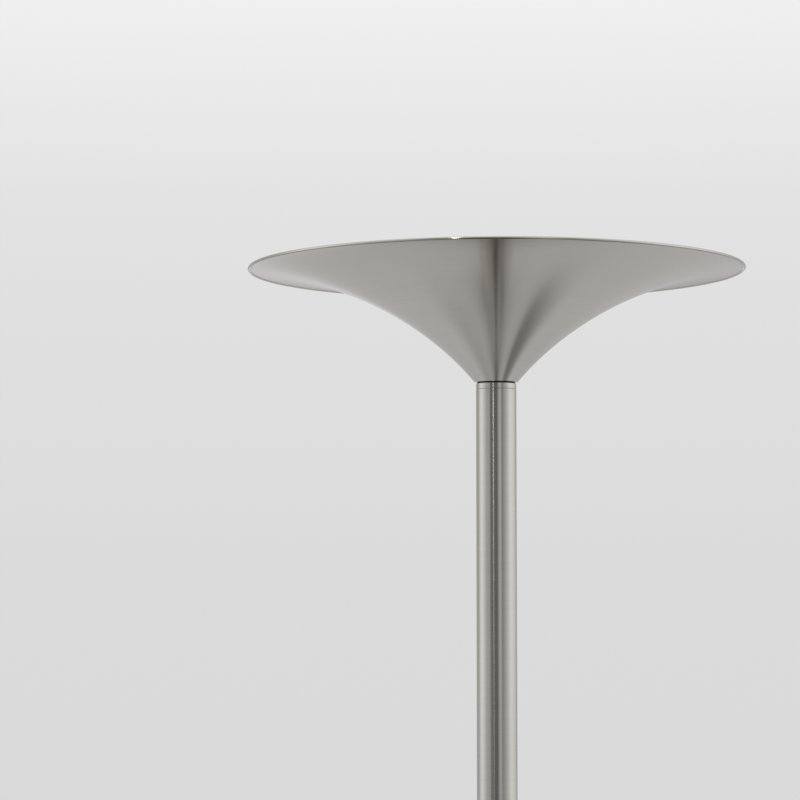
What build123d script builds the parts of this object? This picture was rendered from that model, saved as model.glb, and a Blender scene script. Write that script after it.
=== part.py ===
from build123d import *
from math import asin, cos, degrees, pi, radians, sin
import os

# Torchiere floor lamp: a trumpet shade of spun steel, open upwards, on a slim three-section pole
# that stands on a weighted round base. Millimetres, +Z up. The origin is the middle of the base's
# underside, and the front of the lamp, with its dimmer knob, faces -Y.

os.makedirs("parts", exist_ok=True)

# ---------------------------------------------------------------- driving dimensions
TOTAL_HEIGHT = 1800.0
RIM_RADIUS = 197.0       # outermost radius of the shade, over its rolled bead
BEAD_RADIUS = 1.2        # the bead's own section
SHADE_RISE = 89.0        # from the shade's lowest face to the middle of the bead
SHADE_WALL = 1.0
NECK_RADIUS = 17.0       # where the trumpet begins
NECK_SLOPE = 50.0        # degrees above the horizontal at the neck; the rim is level
NECK_HANDLE = 75.0       # length of the trumpet curve's tangent at the neck
RIM_HANDLE = 53.0        # and at the rim
NECK_ROUND = 0.8         # the bend between the trumpet and its floor

POLE_RADIUS = 16.0
POLE_WALL = 1.2
COLLAR_HEIGHT = 4.5      # visible ring at each end of the pole
SHADOW_GAP = 1.0         # dark line between the pole's collars and what they meet
GASKET_INSET = 1.0
SEAM = 0.4               # edge break that shows as a fine line at each joint of the pole

BASE_RADIUS = 140.0
BASE_HEIGHT = 24.0
COVER_WALL = 1.2
COVER_LIFT = 2.0         # the cover's lower edge stands this far off the floor
PAD_THICKNESS = 3.0

THREAD_RADIUS = 5.0      # M10 hollow threaded rod
THREAD_CLEAR = 5.2
THREAD_BORE = 3.6
LEAD_RADIUS = 2.0
CORD_BORE = 3.6          # what the mains cord passes through

DIMMER_HEIGHT = 1200.0
DRIVER_BOTTOM = 1400.0

# ---------------------------------------------------------------- levels worked out from them
RIM_Z = TOTAL_HEIGHT - BEAD_RADIUS
NECK_Z = RIM_Z - SHADE_RISE
COLLAR_TOP_Z = NECK_Z - SHADOW_GAP
POLE_TOP_Z = COLLAR_TOP_Z - COLLAR_HEIGHT
FOOT_RING_Z = BASE_HEIGHT + SHADOW_GAP
POLE_BOTTOM_Z = FOOT_RING_Z + COLLAR_HEIGHT
SECTION_LENGTH = (POLE_TOP_Z - POLE_BOTTOM_Z) / 3
POLE_BORE = POLE_RADIUS - POLE_WALL


def head(height):
    """A horizontal plane at this height above the shade's lowest face."""
    return Plane.XY.offset(NECK_Z + height)


def save(made, label):
    made.part.label = label
    export_step(made.part, f"parts/{label}.step")


def rims(made, radius):
    """The circular edges of this radius, lowest first."""
    circles = made.edges().filter_by(GeomType.CIRCLE)
    return circles.filter_by(lambda edge: abs(edge.radius - radius) < 0.01).sort_by(Axis.Z)


def ring(bottom, height, outer, inner, edge=0.0):
    """A round washer, sleeve or tube on the lamp's axis. edge breaks its outer rims."""
    with BuildPart() as made:
        with BuildSketch(Plane.XY.offset(bottom)):
            Circle(outer)
            Circle(inner, mode=Mode.SUBTRACT)
        extrude(amount=height)
        if edge:
            chamfer(rims(made, outer), edge)
    return made


def hex_nut(plane, height, across_flats, hole):
    """A hexagon nut with its corners turned off at both faces, as a real one has."""
    corner = across_flats / 2 / cos(radians(30))
    turned = 0.12 * across_flats
    drop = turned * 0.58
    profile = Plane(plane.origin, x_dir=plane.x_dir, z_dir=-plane.y_dir)
    with BuildPart() as made:
        with BuildSketch(plane):
            RegularPolygon(corner, 6)
            Circle(hole, mode=Mode.SUBTRACT)
        extrude(amount=height)
        with BuildSketch(profile):
            with BuildLine():
                Polyline(
                    (0, 0),
                    (corner - turned, 0),
                    (corner, drop),
                    (corner, height - drop),
                    (corner - turned, height),
                    (0, height),
                    close=True,
                )
            make_face()
        revolve(axis=Axis(plane.origin, plane.z_dir), mode=Mode.INTERSECT)
    return made


def pan_head_screws(plane, places, shank, length, head_radius, head_height):
    """Cross-slotted pan-head screws at these places: heads above the plane, shanks below it."""
    slot_length = head_radius * 1.1
    slot_width = head_radius * 0.26
    slot_depth = head_height * 0.55
    with BuildPart() as made:
        with BuildSketch(plane):
            with Locations(*places):
                Circle(head_radius)
        extrude(amount=head_height)
        top_rims = made.edges().filter_by(GeomType.CIRCLE).group_by(Axis.Z)[-1]
        fillet(top_rims, head_height * 0.45)
        with BuildSketch(plane):
            with Locations(*places):
                Circle(shank)
        extrude(amount=-length)
        with BuildSketch(plane.offset(head_height)):
            with Locations(*places):
                Rectangle(slot_length, slot_width)
                Rectangle(slot_width, slot_length)
        extrude(amount=-slot_depth, mode=Mode.SUBTRACT)
    return made


def around(count, radius, start=0.0):
    """Places evenly spaced on a circle."""
    turns = [radians(start + 360 * i / count) for i in range(count)]
    return [(radius * cos(t), radius * sin(t)) for t in turns]


# ================================================================ base
WEIGHT_RADIUS = BASE_RADIUS - COVER_WALL - 0.8
WEIGHT_TOP = BASE_HEIGHT - COVER_WALL
WEIGHT_CHAMFER = 3.2
COVER_EDGE = 4.0
RECESS_RADIUS = 20.0
RECESS_ROOF = 18.0
CHANNEL_WIDTH = 14.0
CHANNEL_ROOF = 15.0
GLAND_SLOT = (20.0, 44.0)          # in the weight's edge, width and depth across the rim
GLAND_Z = 11.5
BLOCK_FRONT = 62.0
BLOCK_SIZE = (24.0, 18.0, 12.0)
BLOCK_BOTTOM = 4.0
BLOCK_CLEARANCE = 4.0

# Cast-iron disc that keeps the lamp upright. Its underside is hollowed for the rod's nut, the
# lead and the terminal block, and a slot in its edge clears the cord gland.
with BuildPart() as base_weight:
    with BuildSketch(Plane.XY.offset(PAD_THICKNESS)):
        Circle(WEIGHT_RADIUS)
    extrude(amount=WEIGHT_TOP - PAD_THICKNESS)
    chamfer(base_weight.edges().group_by(Axis.Z)[-1], WEIGHT_CHAMFER)
    with BuildSketch(Plane.XY.offset(PAD_THICKNESS)):
        Circle(RECESS_RADIUS)
    extrude(amount=RECESS_ROOF - PAD_THICKNESS, mode=Mode.SUBTRACT)
    with BuildSketch(Plane.XY.offset(PAD_THICKNESS)):
        with Locations((0, WEIGHT_RADIUS / 2)):
            Rectangle(CHANNEL_WIDTH, WEIGHT_RADIUS)
    extrude(amount=CHANNEL_ROOF - PAD_THICKNESS, mode=Mode.SUBTRACT)
    with BuildSketch(Plane.XY.offset(PAD_THICKNESS)):
        with Locations((0, BLOCK_FRONT + BLOCK_SIZE[1] / 2)):
            RectangleRounded(BLOCK_SIZE[0] + BLOCK_CLEARANCE, BLOCK_SIZE[1] + BLOCK_CLEARANCE, 2)
    extrude(amount=RECESS_ROOF - PAD_THICKNESS, mode=Mode.SUBTRACT)
    with BuildSketch(Plane.XY.offset(PAD_THICKNESS)):
        with Locations((0, BASE_RADIUS)):
            Rectangle(*GLAND_SLOT)
    extrude(amount=BASE_HEIGHT, mode=Mode.SUBTRACT)
    with BuildSketch(Plane.XY):
        Circle(THREAD_CLEAR)
    extrude(amount=BASE_HEIGHT, mode=Mode.SUBTRACT)
save(base_weight, "base_weight")

# Planes square to the rear wall of the base, and to the front of the pole at the dimmer.
REAR = Plane(origin=(0, 0, GLAND_Z), x_dir=(-1, 0, 0), z_dir=(0, 1, 0))
FRONT = Plane(origin=(0, 0, DIMMER_HEIGHT), x_dir=(1, 0, 0), z_dir=(0, -1, 0))

# Spun steel cover over the weight, with a rounded top edge.
GLAND_BARREL = 5.0
with BuildPart() as base_cover:
    with BuildSketch(Plane.XY.offset(COVER_LIFT)):
        Circle(BASE_RADIUS)
    extrude(amount=BASE_HEIGHT - COVER_LIFT)
    fillet(base_cover.edges().group_by(Axis.Z)[-1], COVER_EDGE)
    with BuildSketch(Plane.XY.offset(COVER_LIFT)):
        Circle(BASE_RADIUS - COVER_WALL)
    extrude(amount=WEIGHT_TOP - COVER_LIFT, mode=Mode.SUBTRACT)
    fillet(rims(base_cover, BASE_RADIUS - COVER_WALL)[-1], COVER_EDGE - COVER_WALL)
    with BuildSketch(Plane.XY):
        Circle(THREAD_CLEAR)
    extrude(amount=BASE_HEIGHT, mode=Mode.SUBTRACT)
    with BuildSketch(REAR):
        Circle(GLAND_BARREL + 0.1)
    extrude(amount=BASE_RADIUS + 5, mode=Mode.SUBTRACT)
save(base_cover, "base_cover")

# Non-slip ring under the weight, open in the middle so that the nut can be reached.
PAD_OUTER = BASE_RADIUS - 6
PAD_INNER = 34.0
base_pad = ring(0, PAD_THICKNESS, PAD_OUTER, PAD_INNER, 0.5)
save(base_pad, "base_pad")

# Hollow rod that draws the pole, cover and weight together, with its nut and washers.
NUT_M10 = 16.0
NUT_HEIGHT = 5.0
ROD_BOTTOM = 9.5
ROD_TOP = POLE_BOTTOM_Z + 8
WASHER = 2.0
LOCK_WASHER = 1.0
base_rod = ring(ROD_BOTTOM, ROD_TOP - ROD_BOTTOM, THREAD_RADIUS, THREAD_BORE, 0.5)
save(base_rod, "base_rod")
base_washer = ring(RECESS_ROOF - WASHER, WASHER, RECESS_RADIUS - 2, THREAD_CLEAR, 0.3)
save(base_washer, "base_washer")


def toothed_washer(bottom):
    """A lock washer with teeth round its outer edge."""
    tooth_count, root, tip = 12, 7.2, 9.0
    with BuildPart() as made:
        with BuildSketch(Plane.XY.offset(bottom)):
            Circle(root)
            with PolarLocations((root + tip) / 2 - 0.3, tooth_count):
                Rectangle(tip - root + 0.8, 2.2)
            Circle(THREAD_CLEAR, mode=Mode.SUBTRACT)
        extrude(amount=LOCK_WASHER)
    return made


base_lock_washer = toothed_washer(RECESS_ROOF - WASHER - LOCK_WASHER)
save(base_lock_washer, "base_lock_washer")
base_nut_bottom = RECESS_ROOF - WASHER - LOCK_WASHER - NUT_HEIGHT
base_nut = hex_nut(Plane.XY.offset(base_nut_bottom), NUT_HEIGHT, NUT_M10, THREAD_RADIUS)
save(base_nut, "base_nut")

# Cord gland: a bush through the cover's rear wall, with a tapered nose and a nut inside.
GLAND_INNER = BASE_RADIUS - 12
GLAND_NOSE = BASE_RADIUS + 12
GLAND_FLANGE = 7.5
GLAND_NECK = 6.4
GLAND_TIP = 4.8
with BuildPart() as cord_gland:
    with BuildSketch(Plane.YZ):
        with BuildLine():
            Polyline(
                (GLAND_INNER, GLAND_Z + CORD_BORE),
                (GLAND_INNER, GLAND_Z + GLAND_BARREL),
                (BASE_RADIUS, GLAND_Z + GLAND_BARREL),
                (BASE_RADIUS, GLAND_Z + GLAND_FLANGE),
                (BASE_RADIUS + 2, GLAND_Z + GLAND_FLANGE),
                (BASE_RADIUS + 2.6, GLAND_Z + GLAND_NECK),
                (GLAND_NOSE, GLAND_Z + GLAND_TIP),
                (GLAND_NOSE, GLAND_Z + CORD_BORE),
                close=True,
            )
        make_face()
    revolve(axis=Axis((0, 0, GLAND_Z), (0, 1, 0)))
save(cord_gland, "cord_gland")
GLAND_NUT_HEIGHT = 4.0
gland_nut_place = REAR.offset(BASE_RADIUS - COVER_WALL - GLAND_NUT_HEIGHT - 0.6)
gland_nut = hex_nut(gland_nut_place, GLAND_NUT_HEIGHT, 14, GLAND_BARREL)
save(gland_nut, "gland_nut")

# Three-way terminal block behind the gland, where the cord meets the lamp's own lead.
WIRE_Z = BLOCK_BOTTOM + 8
POLES_X = [-7.5, 0.0, 7.5]
BLOCK_Y = BLOCK_FRONT + BLOCK_SIZE[1] / 2
WIRE_HOLE = 1.6
SCREW_RADIUS = 1.8
SCREW_SINK = 0.4
SCREW_PLACES = [(x, BLOCK_Y + y) for x in POLES_X for y in (-4.5, 4.5)]
with BuildPart() as terminal_block:
    with BuildSketch(Plane.XY.offset(BLOCK_BOTTOM)):
        with Locations((0, BLOCK_Y)):
            Rectangle(BLOCK_SIZE[0], BLOCK_SIZE[1])
        with Locations((POLES_X[0] / 2, BLOCK_Y), (POLES_X[-1] / 2, BLOCK_Y)):
            Rectangle(1, BLOCK_SIZE[1] - 6, mode=Mode.SUBTRACT)
    extrude(amount=BLOCK_SIZE[2])
    with BuildSketch(Plane(origin=(0, 0, WIRE_Z), x_dir=(-1, 0, 0), z_dir=(0, 1, 0))):
        with Locations(*[(x, 0) for x in POLES_X]):
            Circle(WIRE_HOLE)
    extrude(amount=BASE_RADIUS, mode=Mode.SUBTRACT)
    with BuildSketch(Plane.XY.offset(BLOCK_BOTTOM)):
        with Locations(*SCREW_PLACES):
            Circle(SCREW_RADIUS)
    extrude(amount=WIRE_Z - WIRE_HOLE - BLOCK_BOTTOM, mode=Mode.SUBTRACT)
save(terminal_block, "terminal_block")

with BuildPart() as terminal_screws:
    with BuildSketch(Plane.XY.offset(BLOCK_BOTTOM + SCREW_SINK)):
        with Locations(*SCREW_PLACES):
            Circle(SCREW_RADIUS)
    extrude(amount=WIRE_Z - WIRE_HOLE - BLOCK_BOTTOM - SCREW_SINK)
    with BuildSketch(Plane.XY.offset(BLOCK_BOTTOM + SCREW_SINK)):
        with Locations(*SCREW_PLACES):
            Rectangle(2 * SCREW_RADIUS + 1, 0.6)
    extrude(amount=1, mode=Mode.SUBTRACT)
save(terminal_screws, "terminal_screws")

# ================================================================ pole
COLLAR_SPIGOT = 14.0


def collar(ring_bottom, spigot_bottom):
    """A turned plug: a ring flush with the pole, and a spigot inside it, tapped for the rod."""
    with BuildPart() as made:
        with BuildSketch(Plane.XY.offset(ring_bottom)):
            Circle(POLE_RADIUS)
        extrude(amount=COLLAR_HEIGHT)
        chamfer(made.edges().filter_by(GeomType.CIRCLE), SEAM)
        with BuildSketch(Plane.XY.offset(spigot_bottom)):
            Circle(POLE_BORE)
        extrude(amount=COLLAR_SPIGOT)
        with BuildSketch(Plane.XY.offset(min(ring_bottom, spigot_bottom))):
            Circle(THREAD_RADIUS)
        extrude(amount=COLLAR_HEIGHT + COLLAR_SPIGOT, mode=Mode.SUBTRACT)
    return made


foot_gasket = ring(BASE_HEIGHT, SHADOW_GAP, POLE_RADIUS - GASKET_INSET, THREAD_CLEAR)
save(foot_gasket, "foot_gasket")
foot_collar = collar(FOOT_RING_Z, POLE_BOTTOM_Z)
save(foot_collar, "foot_collar")

DIMMER_BUSHING = 4.0
pole_lower = ring(POLE_BOTTOM_Z, SECTION_LENGTH, POLE_RADIUS, POLE_BORE, SEAM)
save(pole_lower, "pole_lower")
pole_middle = ring(POLE_BOTTOM_Z + SECTION_LENGTH, SECTION_LENGTH, POLE_RADIUS, POLE_BORE, SEAM)
save(pole_middle, "pole_middle")
with BuildPart() as pole_upper:
    with BuildSketch(Plane.XY.offset(POLE_BOTTOM_Z + 2 * SECTION_LENGTH)):
        Circle(POLE_RADIUS)
        Circle(POLE_BORE, mode=Mode.SUBTRACT)
    extrude(amount=SECTION_LENGTH)
    chamfer(rims(pole_upper, POLE_RADIUS), SEAM)
    with BuildSketch(FRONT):
        Circle(DIMMER_BUSHING + 0.2)
    extrude(amount=POLE_RADIUS + 2, mode=Mode.SUBTRACT)
save(pole_upper, "pole_upper")

# Each joint of the pole is a turned insert in either tube end, and a hollow stud between them.
INSERT_LENGTH = 22.0
STUD_RADIUS = 7.0
STUD_BORE = 4.5
STUD_HALF = 19.0
JOINTS = (("lower", "middle"), ("middle", "upper"))
for number, (below, above) in enumerate(JOINTS, start=1):
    joint_z = POLE_BOTTOM_Z + number * SECTION_LENGTH
    save(ring(joint_z - INSERT_LENGTH, INSERT_LENGTH, POLE_BORE, STUD_RADIUS, 0.5), f"insert_{below}_top")
    save(ring(joint_z, INSERT_LENGTH, POLE_BORE, STUD_RADIUS, 0.5), f"insert_{above}_bottom")
    save(ring(joint_z - STUD_HALF, 2 * STUD_HALF, STUD_RADIUS, STUD_BORE, 0.5), f"joint_stud_{number}")

neck_collar = collar(POLE_TOP_Z, POLE_TOP_Z - COLLAR_SPIGOT)
save(neck_collar, "neck_collar")
neck_gasket = ring(COLLAR_TOP_Z, SHADOW_GAP, POLE_RADIUS - GASKET_INSET, THREAD_CLEAR)
save(neck_gasket, "neck_gasket")

# ================================================================ dimmer
SADDLE_RADIUS = 9.0
SADDLE_FACE = POLE_RADIUS + 2      # distances in front of the lamp's axis
BUSHING_END = POLE_RADIUS + 6.5
BODY_FRONT = 11.0
BODY_BACK = -5.0
BODY_WIDTH = 18.0
BODY_TALL = 26.0
SHAFT_RADIUS = 3.0
SHAFT_FLAT = 2.5
SHAFT_END = POLE_RADIUS + 16
KNOB_BACK = POLE_RADIUS + 3
KNOB_FRONT = POLE_RADIUS + 19
KNOB_RADIUS = 10.5
KNOB_FLOOR = KNOB_BACK + 5
GRUB_Y = KNOB_FLOOR + 4
OFF_ANGLE = 225.0                  # where the pointer stands at "off", from +X towards +Z

# Dimmer body inside the pole, with its threaded bushing through the wall.
with BuildPart() as dimmer_body:
    with BuildSketch(FRONT.offset(BODY_BACK)):
        RectangleRounded(BODY_WIDTH, BODY_TALL, 1.5)
    extrude(amount=BODY_FRONT - BODY_BACK)
    with BuildSketch(FRONT.offset(BODY_FRONT)):
        Circle(DIMMER_BUSHING)
    extrude(amount=BUSHING_END - BODY_FRONT)
    with BuildSketch(FRONT.offset(BUSHING_END)):
        Circle(SHAFT_RADIUS + 0.05)
    extrude(amount=-(BUSHING_END - BODY_FRONT + 6), mode=Mode.SUBTRACT)
save(dimmer_body, "dimmer_body")

# Saddle washer: round to the pole at the back, flat under the nut.
with BuildPart() as dimmer_saddle:
    with BuildSketch(FRONT.offset(POLE_BORE - 2)):
        Circle(SADDLE_RADIUS)
        Circle(DIMMER_BUSHING + 0.1, mode=Mode.SUBTRACT)
    extrude(amount=SADDLE_FACE - POLE_BORE + 2)
    with BuildSketch(Plane.XY.offset(DIMMER_HEIGHT - 2 * SADDLE_RADIUS)):
        Circle(POLE_RADIUS)
    extrude(amount=4 * SADDLE_RADIUS, mode=Mode.SUBTRACT)
save(dimmer_saddle, "dimmer_saddle")
dimmer_nut = hex_nut(FRONT.offset(SADDLE_FACE), 2.5, 12, DIMMER_BUSHING)
save(dimmer_nut, "dimmer_nut")

# The turning parts: a shaft with a flat, the knob on it, its grub screw and its pointer.
with BuildPart() as dimmer_shaft:
    with BuildSketch(FRONT.offset(BODY_FRONT - 5)):
        Circle(SHAFT_RADIUS)
    extrude(amount=BUSHING_END - BODY_FRONT + 6)
    with BuildSketch(FRONT.offset(BUSHING_END + 1)):
        Circle(SHAFT_RADIUS)
        with Locations((0, -SHAFT_FLAT - SHAFT_RADIUS)):
            Rectangle(4 * SHAFT_RADIUS, 2 * SHAFT_RADIUS, mode=Mode.SUBTRACT)
    extrude(amount=SHAFT_END - BUSHING_END - 1)
save(dimmer_shaft, "dimmer_shaft")

FLUTE_COUNT = 48
FLUTE_RADIUS = 0.4
KNOB_BAND = 2.0                    # plain band at either end of the fluting
KNOB_CHAMFER = 0.8
GRUB_RADIUS = 1.5
GRUB_LENGTH = 6.0
POINTER_LENGTH = 6.0
POINTER_WIDTH = 1.2
POINTER_DEPTH = 0.5
pointer_middle = KNOB_RADIUS - 1.6 - POINTER_LENGTH / 2
pointer_place = (pointer_middle * cos(radians(OFF_ANGLE)), pointer_middle * sin(radians(OFF_ANGLE)))
with BuildPart() as dimmer_knob:
    with BuildSketch(FRONT.offset(KNOB_BACK)):
        Circle(KNOB_RADIUS)
    extrude(amount=KNOB_FRONT - KNOB_BACK)
    chamfer(dimmer_knob.edges().group_by(Axis.Y)[0], KNOB_CHAMFER)
    with BuildSketch(FRONT.offset(KNOB_BACK + KNOB_BAND)):
        with PolarLocations(KNOB_RADIUS + 0.1, FLUTE_COUNT):
            Circle(FLUTE_RADIUS)
    extrude(amount=KNOB_FRONT - KNOB_BACK - 2 * KNOB_BAND, mode=Mode.SUBTRACT)
    with BuildSketch(FRONT.offset(KNOB_BACK)):
        Circle(KNOB_RADIUS - 1.5)
    extrude(amount=KNOB_FLOOR - KNOB_BACK, mode=Mode.SUBTRACT)
    with BuildSketch(FRONT.offset(KNOB_FLOOR)):
        Circle(SHAFT_RADIUS)
        with Locations((0, -SHAFT_FLAT - SHAFT_RADIUS)):
            Rectangle(4 * SHAFT_RADIUS, 2 * SHAFT_RADIUS, mode=Mode.SUBTRACT)
    extrude(amount=SHAFT_END - KNOB_FLOOR, mode=Mode.SUBTRACT)
    with BuildSketch(Plane(origin=(0, -GRUB_Y, DIMMER_HEIGHT), x_dir=(1, 0, 0), z_dir=(0, 0, -1))):
        Circle(GRUB_RADIUS)
    extrude(amount=KNOB_RADIUS + 1, mode=Mode.SUBTRACT)
    with BuildSketch(FRONT.offset(KNOB_FRONT)):
        with Locations(Location((*pointer_place, 0), OFF_ANGLE)):
            Rectangle(POINTER_LENGTH, POINTER_WIDTH)
    extrude(amount=-POINTER_DEPTH, mode=Mode.SUBTRACT)
save(dimmer_knob, "dimmer_knob")

grub_tip = Plane(origin=(0, -GRUB_Y, DIMMER_HEIGHT - SHAFT_FLAT), x_dir=(1, 0, 0), z_dir=(0, 0, -1))
with BuildPart() as knob_grub_screw:
    with BuildSketch(grub_tip):
        Circle(GRUB_RADIUS)
    extrude(amount=GRUB_LENGTH)
    with BuildSketch(grub_tip.offset(GRUB_LENGTH)):
        RegularPolygon(0.85, 6)
    extrude(amount=-2, mode=Mode.SUBTRACT)
save(knob_grub_screw, "knob_grub_screw")

with BuildPart() as knob_pointer:
    with BuildSketch(FRONT.offset(KNOB_FRONT)):
        with Locations(Location((*pointer_place, 0), OFF_ANGLE)):
            Rectangle(POINTER_LENGTH, POINTER_WIDTH)
    extrude(amount=-POINTER_DEPTH)
save(knob_pointer, "knob_pointer")

# ================================================================ driver inside the pole
DRIVER_SIZE = (22.0, 18.0, 120.0)
DRIVER_WALL = 1.5
DRIVER_SPLIT = 5.0                 # the lid takes what is behind this


def driver_half(front_y, back_y, opening_y):
    """One half of the driver's plastic case, hollowed from its open side."""
    with BuildPart() as made:
        with BuildSketch(Plane.XY.offset(DRIVER_BOTTOM)):
            RectangleRounded(DRIVER_SIZE[0], DRIVER_SIZE[1], 3)
        extrude(amount=DRIVER_SIZE[2])
        with BuildSketch(Plane.XY.offset(DRIVER_BOTTOM)):
            with Locations((0, (front_y + back_y) / 2)):
                Rectangle(DRIVER_SIZE[0], abs(back_y - front_y))
        extrude(amount=DRIVER_SIZE[2], mode=Mode.INTERSECT)
        floor_y = front_y + DRIVER_WALL if opening_y == back_y else back_y - DRIVER_WALL
        with BuildSketch(Plane.XY.offset(DRIVER_BOTTOM + DRIVER_WALL)):
            with Locations((0, (floor_y + opening_y) / 2)):
                Rectangle(DRIVER_SIZE[0] - 2 * DRIVER_WALL, abs(opening_y - floor_y))
        extrude(amount=DRIVER_SIZE[2] - 2 * DRIVER_WALL, mode=Mode.SUBTRACT)
    return made


driver_case = driver_half(-DRIVER_SIZE[1] / 2, DRIVER_SPLIT, DRIVER_SPLIT)
save(driver_case, "driver_case")
driver_lid = driver_half(DRIVER_SPLIT, DRIVER_SIZE[1] / 2, DRIVER_SPLIT)
save(driver_lid, "driver_lid")

# Circuit board with its choke, two capacitors and a chip.
BOARD_BACK = 3.0
BOARD_SIZE = (18.0, 1.6, DRIVER_SIZE[2] - 10)
with BuildPart() as driver_board:
    with BuildSketch(Plane.XY.offset(DRIVER_BOTTOM + 5)):
        with Locations((0, BOARD_BACK + BOARD_SIZE[1] / 2)):
            Rectangle(BOARD_SIZE[0], BOARD_SIZE[1])
    extrude(amount=BOARD_SIZE[2])
    with BuildSketch(Plane.XZ.offset(-BOARD_BACK)):
        with Locations((0, DRIVER_BOTTOM + 62)):
            Rectangle(13, 18)
        with Locations((3, DRIVER_BOTTOM + 98)):
            Rectangle(8, 10)
    extrude(amount=7)
    with BuildSketch(Plane.XZ.offset(-BOARD_BACK)):
        with Locations((-4, DRIVER_BOTTOM + 22), (4, DRIVER_BOTTOM + 34)):
            Circle(4)
    extrude(amount=9)
save(driver_board, "driver_board")

# ================================================================ shade
def trumpet(wall):
    """Control points of the shade's flaring profile, moved inwards by this much."""
    start = Vector(NECK_RADIUS, NECK_Z)
    end = Vector(RIM_RADIUS - BEAD_RADIUS, RIM_Z - SHADE_WALL / 2)
    up = Vector(cos(radians(NECK_SLOPE)), sin(radians(NECK_SLOPE)))
    out = Vector(1, 0)
    inward_at_neck = Vector(-up.Y, up.X)
    inward_at_rim = Vector(0, 1)
    return [
        start + inward_at_neck * wall,
        start + inward_at_neck * wall + up * NECK_HANDLE,
        end + inward_at_rim * wall - out * RIM_HANDLE,
        end + inward_at_rim * wall,
    ]


FLOOR_WALL = 1.2
outer_curve = trumpet(0)
inner_curve = trumpet(SHADE_WALL)
with BuildPart() as shade:
    with BuildSketch(Plane.XZ):
        with BuildLine():
            Bezier(*outer_curve)
            Line(outer_curve[-1], inner_curve[-1])
            Bezier(*inner_curve)
            Line(inner_curve[0], outer_curve[0])
        make_face()
        with BuildLine():
            Polyline(
                (THREAD_CLEAR, NECK_Z),
                (NECK_RADIUS, NECK_Z),
                (NECK_RADIUS - 0.3, NECK_Z + FLOOR_WALL),
                (THREAD_CLEAR, NECK_Z + FLOOR_WALL),
                close=True,
            )
        make_face()
        with Locations((RIM_RADIUS - BEAD_RADIUS, RIM_Z)):
            Circle(BEAD_RADIUS)
    revolve(axis=Axis.Z)
    fillet(rims(shade, NECK_RADIUS)[0], NECK_ROUND)
save(shade, "shade")

# Nipple, washers and nut that clamp the shade on the pole, and the spacer under the heat sink.
BOSS_BOTTOM = 30.0
PLATE_BOTTOM = 53.0
PLATE_TOP = 56.0
NIPPLE_TOP = 50.0
HEAD_WASHER_RADIUS = 14.0
STACK = FLOOR_WALL + WASHER + LOCK_WASHER
head_nipple = ring(POLE_TOP_Z - 12, NECK_Z + NIPPLE_TOP - POLE_TOP_Z + 12, THREAD_RADIUS, THREAD_BORE, 0.5)
save(head_nipple, "head_nipple")
head_washer = ring(NECK_Z + FLOOR_WALL, WASHER, HEAD_WASHER_RADIUS, THREAD_CLEAR, 0.3)
save(head_washer, "head_washer")
head_lock_washer = toothed_washer(NECK_Z + FLOOR_WALL + WASHER)
save(head_lock_washer, "head_lock_washer")
head_nut = hex_nut(head(STACK), NUT_HEIGHT, NUT_M10, THREAD_RADIUS)
save(head_nut, "head_nut")
head_spacer = ring(NECK_Z + STACK + NUT_HEIGHT, BOSS_BOTTOM - STACK - NUT_HEIGHT, 8, THREAD_CLEAR, 0.5)
save(head_spacer, "head_spacer")

# ================================================================ light engine
SINK_RADIUS = 58.0
FIN_BOTTOM = 44.0
FIN_COUNT = 24
FIN_THICKNESS = 1.6
BOSS_RADIUS = 11.0
LED_BOARD_RADIUS = 46.0
LED_BOARD_THICKNESS = 1.6
BOARD_SCREWS = around(3, 42, 30)
REFLECTOR_SCREWS = around(3, 53, 90)
SCREW_SHANK = 1.5
SCREW_LENGTH = 5.0
SCREW_HEAD = (2.8, 2.0)            # radius and height

# Cast heat sink: a plate with radial fins under it, screwed on the nipple by its middle boss.
with BuildPart() as heat_sink:
    with BuildSketch(head(PLATE_BOTTOM)):
        Circle(SINK_RADIUS)
    extrude(amount=PLATE_TOP - PLATE_BOTTOM)
    with BuildSketch(head(BOSS_BOTTOM)):
        Circle(BOSS_RADIUS)
    extrude(amount=PLATE_BOTTOM - BOSS_BOTTOM)
    with BuildSketch(head(FIN_BOTTOM)):
        with PolarLocations((SINK_RADIUS + BOSS_RADIUS) / 2 - 0.5, FIN_COUNT):
            Rectangle(SINK_RADIUS - BOSS_RADIUS, FIN_THICKNESS)
    extrude(amount=PLATE_BOTTOM - FIN_BOTTOM)
    with BuildSketch(head(BOSS_BOTTOM)):
        Circle(THREAD_RADIUS)
    extrude(amount=PLATE_TOP - BOSS_BOTTOM, mode=Mode.SUBTRACT)
    with BuildSketch(head(PLATE_TOP)):
        with Locations(*BOARD_SCREWS, *REFLECTOR_SCREWS):
            Circle(SCREW_SHANK)
    extrude(amount=-SCREW_LENGTH - 1, mode=Mode.SUBTRACT)
save(heat_sink, "heat_sink")

with BuildPart() as led_board:
    with BuildSketch(head(PLATE_TOP)):
        Circle(LED_BOARD_RADIUS)
        Circle(THREAD_RADIUS, mode=Mode.SUBTRACT)
        with Locations(*BOARD_SCREWS):
            Circle(SCREW_SHANK + 0.1, mode=Mode.SUBTRACT)
    extrude(amount=LED_BOARD_THICKNESS)
save(led_board, "led_board")

BOARD_TOP = PLATE_TOP + LED_BOARD_THICKNESS
LED_SIZE = (3.5, 2.8, 0.8)
LED_RINGS = ((27.0, 14), (36.0, 20))
with BuildPart() as led_chips:
    for ring_radius, led_count in LED_RINGS:
        with BuildSketch(head(BOARD_TOP)):
            with PolarLocations(ring_radius, led_count, start_angle=180 / led_count):
                Rectangle(LED_SIZE[0], LED_SIZE[1])
        extrude(amount=LED_SIZE[2])
save(led_chips, "led_chips")

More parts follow.
